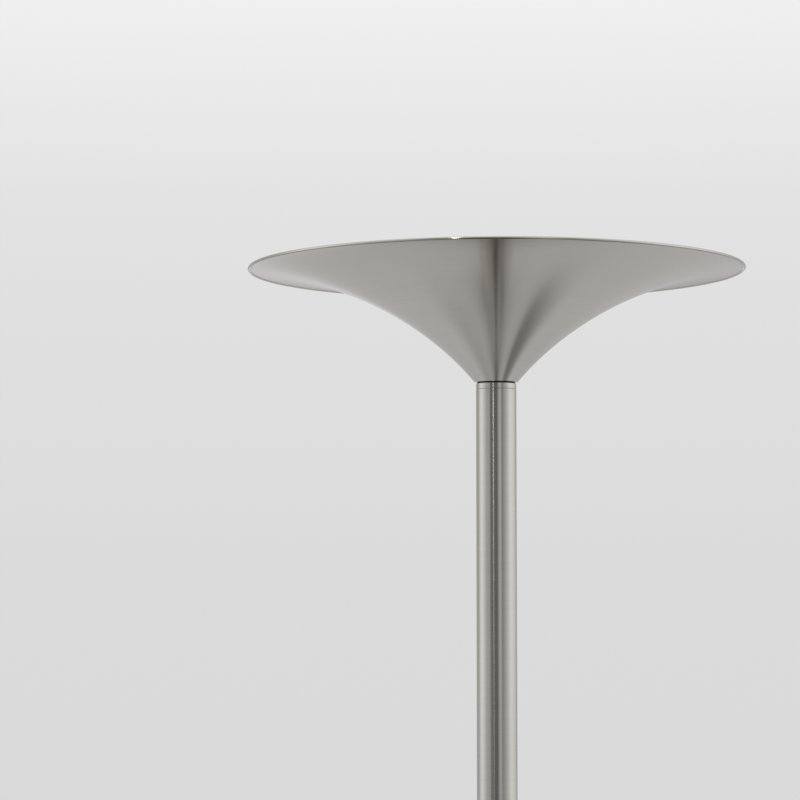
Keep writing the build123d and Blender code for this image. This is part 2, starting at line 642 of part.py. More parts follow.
CONNECTOR_FRONT = 11.0
CONNECTOR_SIZE = (10.0, 8.0, 6.4)
LED_LEAD_TOP = BOARD_TOP + CONNECTOR_SIZE[2] - LEAD_RADIUS - 0.2
with BuildPart() as led_connector:
    with BuildSketch(head(BOARD_TOP)):
        with Locations((0, CONNECTOR_FRONT + CONNECTOR_SIZE[1] / 2)):
            Rectangle(CONNECTOR_SIZE[0], CONNECTOR_SIZE[1])
    extrude(amount=CONNECTOR_SIZE[2])
    chamfer(led_connector.edges().filter_by(Axis.Z), 0.6)
save(led_connector, "led_connector")

led_board_screws = pan_head_screws(head(BOARD_TOP), BOARD_SCREWS, SCREW_SHANK, SCREW_LENGTH, *SCREW_HEAD)
save(led_board_screws, "led_board_screws")

# White reflector inside the shade: a floor on the heat sink, a ledge for the diffuser, and a
# wall that runs up beside the trumpet to its rim.
REFLECTOR_WALL = 0.6
REFLECTOR_HOLE = 48.0
LEDGE = 66.0
LEDGE_INNER = 90.0
LEDGE_OUTER = 100.0
FLOOR_OUTER = 77.0
CONE_OFFSET = 0.4                  # keeps the cone between floor and ledge as thick as the rest
STEP = 3.2                         # upstand round the diffuser
LIP_START = Vector(LEDGE_OUTER + REFLECTOR_WALL, NECK_Z + LEDGE + STEP)
LIP_END = Vector(RIM_RADIUS - BEAD_RADIUS - 1.4, RIM_Z + SHADE_WALL / 2)
LIP_SLOPE = Vector(cos(radians(22)), sin(radians(22)))
LIP_HANDLES = (30.0, 45.0)


def reflector_lip(wall):
    """Control points of the reflector's outer wall, raised by this much."""
    rise = Vector(0, wall)
    return [
        LIP_START + rise,
        LIP_START + rise + LIP_SLOPE * LIP_HANDLES[0],
        LIP_END + rise - Vector(LIP_HANDLES[1], 0),
        LIP_END + rise,
    ]


lip_under = reflector_lip(0)
lip_over = reflector_lip(REFLECTOR_WALL)
with BuildPart() as reflector:
    with BuildSketch(Plane.XZ):
        with BuildLine():
            Polyline(
                (REFLECTOR_HOLE, NECK_Z + PLATE_TOP),
                (FLOOR_OUTER, NECK_Z + PLATE_TOP),
                (LEDGE_INNER, NECK_Z + LEDGE),
                (LEDGE_OUTER + REFLECTOR_WALL, NECK_Z + LEDGE),
                lip_under[0],
            )
            Bezier(*lip_under)
            Line(lip_under[-1], lip_over[-1])
            Bezier(*lip_over)
            Polyline(
                lip_over[0],
                (LEDGE_OUTER, NECK_Z + LEDGE + STEP),
                (LEDGE_OUTER, NECK_Z + LEDGE + REFLECTOR_WALL),
                (LEDGE_INNER - CONE_OFFSET, NECK_Z + LEDGE + REFLECTOR_WALL),
                (FLOOR_OUTER - CONE_OFFSET, NECK_Z + PLATE_TOP + REFLECTOR_WALL),
                (REFLECTOR_HOLE, NECK_Z + PLATE_TOP + REFLECTOR_WALL),
                (REFLECTOR_HOLE, NECK_Z + PLATE_TOP),
            )
        make_face()
    revolve(axis=Axis.Z)
    with BuildSketch(head(PLATE_TOP)):
        with Locations(*REFLECTOR_SCREWS):
            Circle(SCREW_SHANK + 0.2)
    extrude(amount=2, mode=Mode.SUBTRACT)
save(reflector, "reflector")
reflector_screws = pan_head_screws(
    head(PLATE_TOP + REFLECTOR_WALL), REFLECTOR_SCREWS, SCREW_SHANK, SCREW_LENGTH, *SCREW_HEAD
)
save(reflector_screws, "reflector_screws")

# Opal diffuser: a shallow dome that rests on the ledge and lifts out.
DIFFUSER_RADIUS = 98.5
DIFFUSER_WALL = 2.5
DIFFUSER_FOOT = 4.0
DIFFUSER_EDGE = 3.0
DIFFUSER_CROWN = 7.0
diffuser_bottom = NECK_Z + LEDGE + REFLECTOR_WALL + 0.2
dome_radius = (DIFFUSER_RADIUS**2 + DIFFUSER_CROWN**2) / (2 * DIFFUSER_CROWN)
dome_middle = (0, diffuser_bottom + DIFFUSER_EDGE + DIFFUSER_CROWN - dome_radius)
outer_sweep = degrees(asin(DIFFUSER_RADIUS / dome_radius))
inner_sweep = degrees(asin((DIFFUSER_RADIUS - DIFFUSER_FOOT) / (dome_radius - DIFFUSER_WALL)))
with BuildPart() as diffuser:
    with BuildSketch(Plane.XZ):
        with BuildLine():
            above = CenterArc(dome_middle, dome_radius, 90, -outer_sweep)
            below = CenterArc(dome_middle, dome_radius - DIFFUSER_WALL, 90, -inner_sweep)
            Polyline(
                above @ 1,
                (DIFFUSER_RADIUS, diffuser_bottom),
                (DIFFUSER_RADIUS - DIFFUSER_FOOT, diffuser_bottom),
                below @ 1,
            )
            Line(below @ 0, above @ 0)
        make_face()
    revolve(axis=Axis.Z)
    fillet(rims(diffuser, DIFFUSER_RADIUS)[-1], 1.0)
save(diffuser, "diffuser")

# ================================================================ leads inside the lamp
LEAD_BEND = 7.0
LEAD_RUN_Z = 6.0


def lead(label, points, bends):
    """An internal lead: straight runs joined by arcs, with a round section all along."""
    with BuildPart() as made:
        with BuildLine() as route:
            if bends:
                FilletPolyline(*points, radius=bends)
            else:
                Polyline(*points)
        start = Vector(*points[0])
        with BuildSketch(Plane(origin=start, z_dir=Vector(*points[1]) - start)):
            Circle(LEAD_RADIUS)
        sweep(path=route.wire())
    save(made, label)
    length = route.wire().length
    ratio = made.part.volume / (length * pi * LEAD_RADIUS**2)
    print(f"{label}: length {length:.1f}, arc radii {bends}, volume over section times length {ratio:.3f}")


lead(
    "mains_lead",
    [
        (0, BLOCK_FRONT, WIRE_Z),
        (0, BLOCK_FRONT - 12, WIRE_Z),
        (0, BLOCK_FRONT - 26, LEAD_RUN_Z),
        (0, 0, LEAD_RUN_Z),
        (0, 0, DIMMER_HEIGHT - BODY_TALL / 2),
    ],
    [12, 12, LEAD_BEND],
)
lead("dimmed_lead", [(0, 0, DIMMER_HEIGHT + BODY_TALL / 2), (0, 0, DRIVER_BOTTOM)], [])
lead(
    "led_lead",
    [
        (0, 0, DRIVER_BOTTOM + DRIVER_SIZE[2]),
        (0, 0, NECK_Z + LED_LEAD_TOP),
        (0, CONNECTOR_FRONT, NECK_Z + LED_LEAD_TOP),
    ],
    [LEAD_BEND],
)
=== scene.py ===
import bmesh
import bpy
from math import asin, atan2, cos, degrees, hypot, pi, radians, sin, tau
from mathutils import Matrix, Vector


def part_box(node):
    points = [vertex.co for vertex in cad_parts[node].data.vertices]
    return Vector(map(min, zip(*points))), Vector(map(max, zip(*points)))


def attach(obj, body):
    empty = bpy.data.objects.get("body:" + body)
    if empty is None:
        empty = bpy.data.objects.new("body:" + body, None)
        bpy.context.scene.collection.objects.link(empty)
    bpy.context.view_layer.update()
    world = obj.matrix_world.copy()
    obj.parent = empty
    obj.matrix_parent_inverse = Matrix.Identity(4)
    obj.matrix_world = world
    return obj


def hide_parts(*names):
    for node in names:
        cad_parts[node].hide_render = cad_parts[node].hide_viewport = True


# Looks of a torchiere floor lamp: spun and brushed nickel shade, pole and base, white enamelled
# reflector with an opal diffuser, a knurled dimmer knob, and the pieces inside them.
# Pieces are drawn in millimetres and scaled by MM, in the frame's own place.

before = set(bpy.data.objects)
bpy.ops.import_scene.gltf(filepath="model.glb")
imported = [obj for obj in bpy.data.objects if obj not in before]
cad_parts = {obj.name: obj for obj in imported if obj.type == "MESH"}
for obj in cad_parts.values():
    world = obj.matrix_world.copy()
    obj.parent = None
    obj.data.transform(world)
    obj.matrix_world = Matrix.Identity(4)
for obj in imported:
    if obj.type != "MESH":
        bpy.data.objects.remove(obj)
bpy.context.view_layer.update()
MM = 0.001

# ---------------------------------------------------------------- sizes shared by several pieces
shade_low, shade_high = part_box("shade")
NECK_Z = shade_low.z / MM
RIM_TOP = shade_high.z / MM
RIM_RADIUS = shade_high.x / MM
BEAD = 1.2
RIM_Z = RIM_TOP - BEAD
RIM_MIDDLE = RIM_RADIUS - BEAD
NECK_RADIUS = 17.0
NECK_SLOPE = radians(50)
NECK_HANDLE = 75.0
RIM_HANDLE = 53.0
SHEET = 1.0
ROD_RADIUS = 5.0
ROD_CLEAR = 5.2
ROD_BORE = 3.6
POLE_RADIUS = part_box("pole_lower")[1].x / MM
POLE_BORE = POLE_RADIUS - 1.2
SEAM = 0.4
DIMMER_Z = 1200.0
KNOB_BACK = -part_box("dimmer_knob")[1].y / MM
KNOB_FRONT = -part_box("dimmer_knob")[0].y / MM
KNOB_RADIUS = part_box("dimmer_knob")[1].x / MM
BASE_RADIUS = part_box("base_cover")[1].x / MM
BASE_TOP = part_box("base_cover")[1].z / MM
GLAND_Z = 11.5
TERMINAL_Y = 71
TERMINAL_WAYS = (-7.5, 0, 7.5)
TERMINAL_ROWS = (-4.5, 4.5)
WEIGHT_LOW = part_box("base_weight")[0].z / MM
PLATE_TOP = NECK_Z + 56.0
BOARD_THICK = 1.6
BOARD_SCREWS = (42, 30)
REFLECTOR_SCREWS = (53, 90)
ALONG_Y = (pi / 2, 0, 0)


# ---------------------------------------------------------------- drawing helpers
def heights(cad_name):
    """The bottom and top of a CAD node."""
    return tuple(corner.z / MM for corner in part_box(cad_name))


def depths(cad_name):
    """How far the back and front of a CAD node lie in front of the lamp's axis."""
    return tuple(-corner.y / MM for corner in reversed(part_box(cad_name)))


def three_round(ring):
    """Three places a third of a turn apart, on a ring given as (radius, first heading)."""
    radius, start = ring
    turns = [radians(start + 120 * i) for i in range(3)]
    return [(radius * cos(t), radius * sin(t)) for t in turns]


def arc(middle, radius, start, end, count):
    """Points on an arc between two angles in degrees."""
    turns = [radians(start + (end - start) * i / count) for i in range(count + 1)]
    return [(middle[0] + radius * cos(t), middle[1] + radius * sin(t)) for t in turns]


def bezier(points, count, start=0.0):
    """Points on a cubic curve from its four control points."""
    line = []
    for i in range(count + 1):
        t = start + (1 - start) * i / count
        s = 1 - t
        weights = (s**3, 3 * s * s * t, 3 * s * t * t, t**3)
        line.append(tuple(sum(w * p[axis] for w, p in zip(weights, points)) for axis in (0, 1)))
    return line


def select_faces(piece, wanted):
    """In edit mode, select just the faces for which wanted(middle, normal) is true."""
    bpy.ops.mesh.select_mode(type="FACE")
    bpy.ops.mesh.select_all(action="DESELECT")
    shape = bmesh.from_edit_mesh(piece.data)
    for face in shape.faces:
        face.select_set(wanted(face.calc_center_median(), face.normal))
    bmesh.update_edit_mesh(piece.data)


def select_verts(piece, wanted):
    """In edit mode, select just the vertices for which wanted(place) is true."""
    bpy.ops.mesh.select_mode(type="VERT")
    bpy.ops.mesh.select_all(action="DESELECT")
    shape = bmesh.from_edit_mesh(piece.data)
    for vert in shape.verts:
        vert.select_set(wanted(vert.co))
    shape.select_flush_mode()
    bmesh.update_edit_mesh(piece.data)


def settle(piece, name, smooth=30):
    """Leave a piece named, smooth shaded, with its place in its mesh."""
    if bpy.context.mode != "OBJECT":
        bpy.ops.object.mode_set(mode="OBJECT")
    bpy.ops.object.select_all(action="DESELECT")
    piece.select_set(True)
    bpy.context.view_layer.objects.active = piece
    bpy.ops.object.transform_apply(location=True, rotation=True, scale=True)
    bpy.ops.object.shade_smooth_by_angle(angle=radians(smooth))
    piece.name = name
    piece.data.name = name
    return piece


def use_modifier(piece, kind, **settings):
    """Add a modifier with these settings and apply it."""
    bpy.ops.object.select_all(action="DESELECT")
    piece.select_set(True)
    bpy.context.view_layer.objects.active = piece
    modifier = piece.modifiers.new(kind.lower(), kind)
    for key, value in settings.items():
        setattr(modifier, key, value)
    bpy.ops.object.modifier_apply(modifier=modifier.name)
    return piece


def ease_edges(piece, width, segments=3, angle=25):
    """Round every edge sharper than an angle."""
    return use_modifier(
        piece, "BEVEL", width=width * MM, segments=segments, limit_method="ANGLE",
        angle_limit=radians(angle), harden_normals=False,
    )


def combine(piece, other, operation):
    """Work another solid into a piece, and throw the other away."""
    use_modifier(piece, "BOOLEAN", object=other, operation=operation, solver="EXACT")
    bpy.data.objects.remove(other)
    return piece


def cut(piece, cutter):
    """Take a cutter's shape out of a piece."""
    return combine(piece, cutter, "DIFFERENCE")


def turned(name, section, steps=192, smooth=30, along="Z", height=0.0, ease=0.0, closed=True):
    """Draw a section as (radius, distance) points in millimetres and spin it round an axis.

    Along Z the distance is the height above the floor; along Y it is how far the point lies in
    front of the lamp's axis, at the given height.
    """

    def place(point):
        radius, distance = point
        if along == "Z":
            return Vector((radius, 0, distance)) * MM
        return Vector((radius, -distance, height)) * MM

    bpy.ops.object.select_all(action="DESELECT")
    bpy.ops.mesh.primitive_plane_add(size=MM, location=place(section[0]), enter_editmode=True)
    piece = bpy.context.object
    bpy.ops.mesh.select_mode(type="VERT")
    bpy.ops.mesh.select_all(action="SELECT")
    bpy.ops.mesh.merge(type="CENTER")
    for here, there in zip(section, section[1:]):
        step = place(there) - place(here)
        bpy.ops.mesh.extrude_vertices_move(TRANSFORM_OT_translate={"value": step})
    if closed:
        bpy.ops.mesh.extrude_vertices_move(
            TRANSFORM_OT_translate={"value": place(section[0]) - place(section[-1])}
        )
    bpy.ops.mesh.select_all(action="SELECT")
    bpy.ops.mesh.remove_doubles(threshold=0.001 * MM)
    axis = (0, 0, 1) if along == "Z" else (0, 1, 0)
    bpy.ops.mesh.spin(steps=steps, angle=tau, center=(0, 0, height * MM), axis=axis)
    bpy.ops.mesh.select_all(action="SELECT")
    bpy.ops.mesh.remove_doubles(threshold=0.001 * MM)
    if not closed:
        bpy.ops.mesh.select_all(action="DESELECT")
        bpy.ops.mesh.select_mode(type="EDGE")
        bpy.ops.mesh.select_non_manifold()
        bpy.ops.mesh.merge(type="COLLAPSE")
        bpy.ops.mesh.select_all(action="SELECT")
    bpy.ops.mesh.normals_make_consistent(inside=False)
    bpy.ops.object.mode_set(mode="OBJECT")
    if ease:
        ease_edges(piece, ease)
    return settle(piece, name, smooth)


def block(size, middle, turn=0.0):
    """A box of this size, in millimetres, to cut with or to shape."""
    bpy.ops.object.select_all(action="DESELECT")
    bpy.ops.mesh.primitive_cube_add(size=1, location=Vector(middle) * MM, rotation=(0, 0, turn))
    made = bpy.context.object
    made.scale = Vector(size) * MM
    bpy.ops.object.transform_apply(location=True, rotation=True, scale=True)
    return made


def pin(radius, length, middle, rotation=(0, 0, 0), vertices=32):
    """A cylinder, or a prism when it has few vertices, to cut with or to shape."""
    bpy.ops.object.select_all(action="DESELECT")
    bpy.ops.mesh.primitive_cylinder_add(
        vertices=vertices, radius=radius * MM, depth=length * MM,
        location=Vector(middle) * MM, rotation=rotation,
    )
    made = bpy.context.object
    bpy.ops.object.transform_apply(location=True, rotation=True, scale=True)
    return made


def join_up(pieces, name):
    """Join pieces into the first of them, each keeping its own finish."""
    bpy.ops.object.select_all(action="DESELECT")
    for piece in pieces:
        piece.select_set(True)
    bpy.context.view_layer.objects.active = pieces[0]
    bpy.ops.object.transform_apply(location=True, rotation=True, scale=True)
    if len(pieces) > 1:
        bpy.ops.object.join()
    return settle(bpy.context.object, name, 30)


def spread_copies(piece, name, places):
    """Copy a piece to places given as (x, y, turn), each with its own mesh, and join them."""
    copies = []
    for x, y, turn in places:
        bpy.ops.object.select_all(action="DESELECT")
        piece.select_set(True)
        bpy.context.view_layer.objects.active = piece
        bpy.ops.object.duplicate(linked=False)
        twin = bpy.context.object
        twin.rotation_euler = (0, 0, turn)
        twin.location = (x * MM, y * MM, 0)
        copies.append(twin)
    bpy.data.objects.remove(piece)
    return join_up(copies, name)


# ---------------------------------------------------------------- material helpers
def node(tree, kind, inputs=None, **settings):
    """Add a shader node, set it up, and link or fill its inputs."""
    made = tree.nodes.new("ShaderNode" + kind)
    for key, value in settings.items():
        setattr(made, key, value)
    for socket, value in (inputs or {}).items():
        if isinstance(value, bpy.types.NodeSocket):
            tree.links.new(value, made.inputs[socket])
        else:
            made.inputs[socket].default_value = value
    return made


def blank(name, **sockets):
    """A new material with its Principled shader's plain sockets filled in."""
    material = bpy.data.materials.new(name)
    material.use_nodes = True
    shader = material.node_tree.nodes["Principled BSDF"]
    for socket, value in sockets.items():
        shader.inputs[socket.replace("_", " ")].default_value = value
    return material, material.node_tree, shader


def object_place(tree):
    return node(tree, "TexCoord").outputs["Object"]


def ramp(tree, source, stops):
    """A colour ramp through (position, colour) stops."""
    made = node(tree, "ValToRGB", {"Fac": source})
    elements = made.color_ramp.elements
    while len(elements) < len(stops):
        elements.new(0.5)
    for element, (position, colour) in zip(elements, stops):
        element.position = position
        element.color = (*colour, 1) if len(colour) == 3 else colour
    return made.outputs["Color"]


def spread(tree, source, low, high):
    """Map a 0 to 1 value onto low to high."""
    return node(tree, "MapRange", {"Value": source, "To Min": low, "To Max": high}).outputs["Result"]


def noise(tree, place, scale, detail=3.0, rough=0.5):
    made = node(tree, "TexNoise", {"Vector": place, "Scale": scale, "Detail": detail, "Roughness": rough})
    return made.outputs["Fac"]


def bump(tree, shader, height, strength, distance):
    made = node(tree, "Bump", {"Height": height, "Strength": strength, "Distance": distance})
    tree.links.new(made.outputs["Normal"], shader.inputs["Normal"])


def tinted(tree, shader, colour, source, amount):
    """Vary a base colour by a share either way, following a 0 to 1 source."""
    darker = tuple(c * (1 - amount) for c in colour)
    lighter = tuple(min(1, c * (1 + amount)) for c in colour)
    tree.links.new(ramp(tree, source, [(0.3, darker), (0.7, lighter)]), shader.inputs["Base Color"])


def brush_lines(tree, fine, length, middle=(0, 0, 0), turn=(0, 0, 0)):
    """Noise drawn out round an axis, as brushing on a lathe leaves it.

    The distance along the section is taken as radius plus height, which both grow the same way on
    every turned piece here, so the lines keep one width on the flats and on the flare.
    """
    place = node(
        tree, "Mapping", {"Vector": object_place(tree), "Location": middle, "Rotation": turn}
    ).outputs["Vector"]
    parts = node(tree, "SeparateXYZ", {"Vector": place})
    flat = node(tree, "CombineXYZ", {"X": parts.outputs["X"], "Y": parts.outputs["Y"]}).outputs["Vector"]
    radius = node(tree, "VectorMath", {0: flat}, operation="LENGTH").outputs["Value"]
    along = node(tree, "Math", {0: radius, 1: parts.outputs["Z"]}, operation="ADD").outputs["Value"]
    drawn = node(tree, "VectorMath", {0: flat, "Scale": 1 / length}, operation="SCALE").outputs["Vector"]
    lift = node(tree, "Math", {0: along, 1: fine}, operation="MULTIPLY").outputs[0]
    rise = node(tree, "CombineXYZ", {"Z": lift}).outputs["Vector"]
    whole = node(tree, "VectorMath", {0: drawn, 1: rise}, operation="ADD").outputs["Vector"]
    return noise(tree, whole, 1.0, 3.0, 0.6)


# ---------------------------------------------------------------- metals
NICKEL = (0.68, 0.66, 0.622)
NICKEL_ROUGHNESS = 0.18


def brushed_nickel(name, axis="Z", middle=(0, 0, 0), turn=(0, 0, 0)):
    """Satin nickel with fine lathe brushing: highlights draw out across the brushing."""
    material, tree, shader = blank(
        name, Metallic=1.0, Roughness=NICKEL_ROUGHNESS, Anisotropic=1.0, Anisotropic_Rotation=0.25
    )
    tangent = node(tree, "Tangent", direction_type="RADIAL", axis=axis).outputs["Tangent"]
    tree.links.new(tangent, shader.inputs["Tangent"])
    fine = brush_lines(tree, 3200.0, 0.03, middle, turn)
    broad = brush_lines(tree, 420.0, 0.09, middle, turn)
    cloud = noise(tree, object_place(tree), 9.0, 2.0)
    both = node(tree, "Mix", {"Factor": 0.35, "A": fine, "B": broad}, data_type="FLOAT").outputs["Result"]
    mixed = node(tree, "Mix", {"Factor": 0.3, "A": both, "B": cloud}, data_type="FLOAT").outputs["Result"]
    tinted(tree, shader, NICKEL, mixed, 0.07)
    uneven = spread(tree, both, NICKEL_ROUGHNESS - 0.04, NICKEL_ROUGHNESS + 0.04)
    tree.links.new(uneven, shader.inputs["Roughness"])
    bump(tree, shader, both, 0.05, 0.00004)
    return material


def turned_metal(name, colour, roughness):
    """Machined or plated metal with faint tool marks and slight staining."""
    material, tree, shader = blank(name, Metallic=1.0, Roughness=roughness)
    lines = brush_lines(tree, 2000.0, 0.02)
    cloud = noise(tree, object_place(tree), 60.0, 4.0)
    tinted(tree, shader, colour, cloud, 0.10)
    tree.links.new(spread(tree, cloud, roughness - 0.06, roughness + 0.08), shader.inputs["Roughness"])
    bump(tree, shader, lines, 0.10, 0.00005)
    return material


def cast_iron():
    """Rough casting under a black dip paint, thinner and greyer on its high spots."""
    material, tree, shader = blank("cast_iron", Metallic=0.0, Roughness=0.6)
    coarse = noise(tree, object_place(tree), 240.0, 6.0, 0.65)
    wide = noise(tree, object_place(tree), 22.0, 3.0)
    paint, thin_paint, bare = (0.012, 0.012, 0.013), (0.035, 0.035, 0.037), (0.11, 0.105, 0.1)
    colour = ramp(tree, coarse, [(0.35, paint), (0.62, thin_paint), (0.8, bare)])
    tree.links.new(colour, shader.inputs["Base Color"])
    tree.links.new(spread(tree, wide, 0.45, 0.75), shader.inputs["Roughness"])
    bump(tree, shader, coarse, 0.5, 0.0004)
    return material


def cast_aluminium():
    material, tree, shader = blank("cast_aluminium", Metallic=1.0, Roughness=0.45)
    grain = noise(tree, object_place(tree), 900.0, 4.0, 0.6)
    wide = noise(tree, object_place(tree), 35.0, 3.0)
    tinted(tree, shader, (0.62, 0.63, 0.65), wide, 0.08)
    tree.links.new(spread(tree, wide, 0.38, 0.55), shader.inputs["Roughness"])
    bump(tree, shader, grain, 0.3, 0.00012)
    return material


# ---------------------------------------------------------------- paints, plastics and rubber
def moulded(name, colour, roughness=0.45, grain=1400.0, depth=0.00004, vary=0.05, **sockets):
    """Moulded plastic or rubber: a fine spark-eroded grain and faint flow marks."""
    material, tree, shader = blank(name, Roughness=roughness, **sockets)
    spark = noise(tree, object_place(tree), grain, 3.0, 0.6)
    flow = noise(tree, object_place(tree), 40.0, 3.0)
    tinted(tree, shader, colour, flow, vary)
    tree.links.new(spread(tree, flow, roughness - 0.06, roughness + 0.06), shader.inputs["Roughness"])
    bump(tree, shader, spark, 0.35, depth)
    return material


def enamel():
    """White stoved enamel with a slight orange peel."""
    material, tree, shader = blank("white_enamel", Roughness=0.32, Coat_Weight=0.25, Coat_Roughness=0.12)
    peel = noise(tree, object_place(tree), 420.0, 2.0, 0.4)
    wide = noise(tree, object_place(tree), 14.0, 2.0)
    tinted(tree, shader, (0.80, 0.80, 0.785), wide, 0.02)
    tree.links.new(spread(tree, wide, 0.28, 0.38), shader.inputs["Roughness"])
    bump(tree, shader, peel, 0.15, 0.00012)
    return material


def opal_acrylic():
    material, tree, shader = blank(
        "opal_acrylic", Roughness=0.3, Subsurface_Weight=0.25, Subsurface_Scale=0.004, IOR=1.49
    )
    wide = noise(tree, object_place(tree), 18.0, 3.0)
    fine = noise(tree, object_place(tree), 700.0, 2.0)
    tinted(tree, shader, (0.86, 0.86, 0.845), wide, 0.02)
    tree.links.new(spread(tree, wide, 0.26, 0.36), shader.inputs["Roughness"])
    bump(tree, shader, fine, 0.1, 0.00005)
    return material


def circuit_board(name, mask, copper, tracks=380.0):
    """Solder mask over copper tracks, which show as slightly raised lighter lines."""
    material, tree, shader = blank(name, Roughness=0.35)
    inputs = {"Vector": object_place(tree), "Scale": tracks}
    cells = node(tree, "TexVoronoi", inputs, distance="MANHATTAN", feature="F1")
    edge = ramp(tree, cells.outputs["Distance"], [(0.40, (0, 0, 0)), (0.46, (1, 1, 1))])
    wide = noise(tree, object_place(tree), 120.0, 3.0)
    colours = node(
        tree, "Mix", {"Factor": edge, "A": (*mask, 1), "B": (*copper, 1)}, data_type="RGBA"
    ).outputs["Result"]
    tree.links.new(colours, shader.inputs["Base Color"])
    tree.links.new(spread(tree, wide, 0.28, 0.42), shader.inputs["Roughness"])
    bump(tree, shader, edge, 0.4, 0.00004)
    return material


def rubber():
    """Matt black rubber with a dusty bloom."""
    material, tree, shader = blank("black_rubber", Roughness=0.75)
    bloom = noise(tree, object_place(tree), 60.0, 5.0, 0.6)
    grain = noise(tree, object_place(tree), 1500.0, 2.0)
    clean, dusty = (0.012, 0.012, 0.012), (0.035, 0.034, 0.033)
    colour = ramp(tree, bloom, [(0.35, clean), (0.75, dusty)])
    tree.links.new(colour, shader.inputs["Base Color"])
    tree.links.new(spread(tree, bloom, 0.65, 0.88), shader.inputs["Roughness"])
    bump(tree, shader, grain, 0.4, 0.00008)
    return material


# ---------------------------------------------------------------- the camera, floor and light
CAMERA_PLACE = Vector((-0.0762, -1.976, 1.5573))
CAMERA_PITCH = 4.01
LENS = 112.5


def set_camera():
    bpy.ops.object.camera_add(location=CAMERA_PLACE, rotation=(radians(90 + CAMERA_PITCH), 0, 0))
    camera = bpy.context.object
    camera.data.lens = LENS
    camera.data.sensor_width = 36
    camera.data.clip_start = 0.05
    camera.data.clip_end = 60
    bpy.context.scene.camera = camera


def set_floor():
    bpy.ops.object.select_all(action="DESELECT")
    bpy.ops.mesh.primitive_circle_add(vertices=128, radius=7, fill_type="NGON", location=(0, 0, 0))
    floor = settle(bpy.context.object, "studio_floor")
    material, tree, shader = blank("studio_floor", Roughness=0.7)
    wide = noise(tree, object_place(tree), 1.5, 2.0)
    tinted(tree, shader, (0.70, 0.70, 0.695), wide, 0.01)
    floor.data.materials.append(material)
    floor.visible_glossy = False


# Brightness of the studio round the lamp, by heading in degrees from the camera's side: dark gaps
# behind the camera with a lighter strip between them, tall soft boxes to both sides, and dim
# corners beside the backdrop.
WALLS = [
    (-180, 0.82), (-177, 0.66), (-170, 0.50), (-160, 0.46), (-144, 0.44), (-125, 0.44),
    (-105, 0.90), (-92, 0.95),
    (-76, 0.72), (-60, 0.48), (-42, 0.42), (-34, 0.13), (-12, 0.15), (2, 0.16), (13, 0.52),
    (21, 0.54), (31, 0.25), (55, 0.54), (84, 0.95), (110, 0.84), (130, 0.64), (146, 0.44),
    (160, 0.46), (170, 0.48), (176, 0.56), (179, 0.80), (180, 0.82),
]
# The same for the far floor, which is greyer and runs into the dark gap too.
FAR_FLOOR = [
    (-180, 0.50), (-110, 0.54), (-90, 0.60), (-60, 0.40), (-30, 0.34), (-20, 0.08), (10, 0.08),
    (20, 0.30), (60, 0.40), (90, 0.60), (110, 0.54), (180, 0.50),
]
# And for the floor round the lamp's foot, across the lanes of light and shade that fall on it.
# Each place is the sideways part of a direction as a share of its fall, positive to the right.
# LANE_LEAN widens the lanes towards the camera and narrows them beyond the lamp.
NEAR_FLOOR = [
    (-1.6, 0.58), (-0.9, 0.58), (-0.65, 0.46), (-0.45, 0.40), (-0.20, 0.44), (-0.10, 0.34),
    (-0.03, 0.15), (0.03, 0.15), (0.10, 0.34), (0.20, 0.44), (0.29, 0.42), (0.38, 0.18),
    (0.60, 0.22), (0.80, 0.52), (1.6, 0.58),
]
LANE_LEAN = 0.67
# The pale backdrop that the camera sees, by the upward part of its direction.
BACKDROP = [
    (-0.08, 0.700), (0.0, 0.706), (0.04, 0.722), (0.11, 0.745), (0.15, 0.768), (0.19, 0.82),
    (0.23, 0.875),
]
CEILING = 0.80
# The upward parts of a direction between which one zone fades into the next.
WALL_TO_CEILING = (0.35, 0.8)
WALL_TO_FLOOR = (-0.10, -0.22)
FAR_TO_NEAR = (-0.72, -0.88)


def fade(tree, source, ends):
    """A 0 to 1 value as the source runs between two ends."""
    inputs = {"Value": source, "From Min": ends[0], "From Max": ends[1]}
    return node(tree, "MapRange", inputs).outputs["Result"]


def grey_ramp(tree, source, stops):
    """Grey tones by a source that runs from the first stop to the last."""
    low, high = stops[0][0], stops[-1][0]
    share = fade(tree, source, (low, high))
    return ramp(tree, share, [((at - low) / (high - low), (tone, tone, tone)) for at, tone in stops])


def shift(tree, factor, first, second):
    """Colours mixed by a factor."""
    inputs = {"Factor": factor, "A": first, "B": second}
    return node(tree, "Mix", inputs, data_type="RGBA").outputs["Result"]


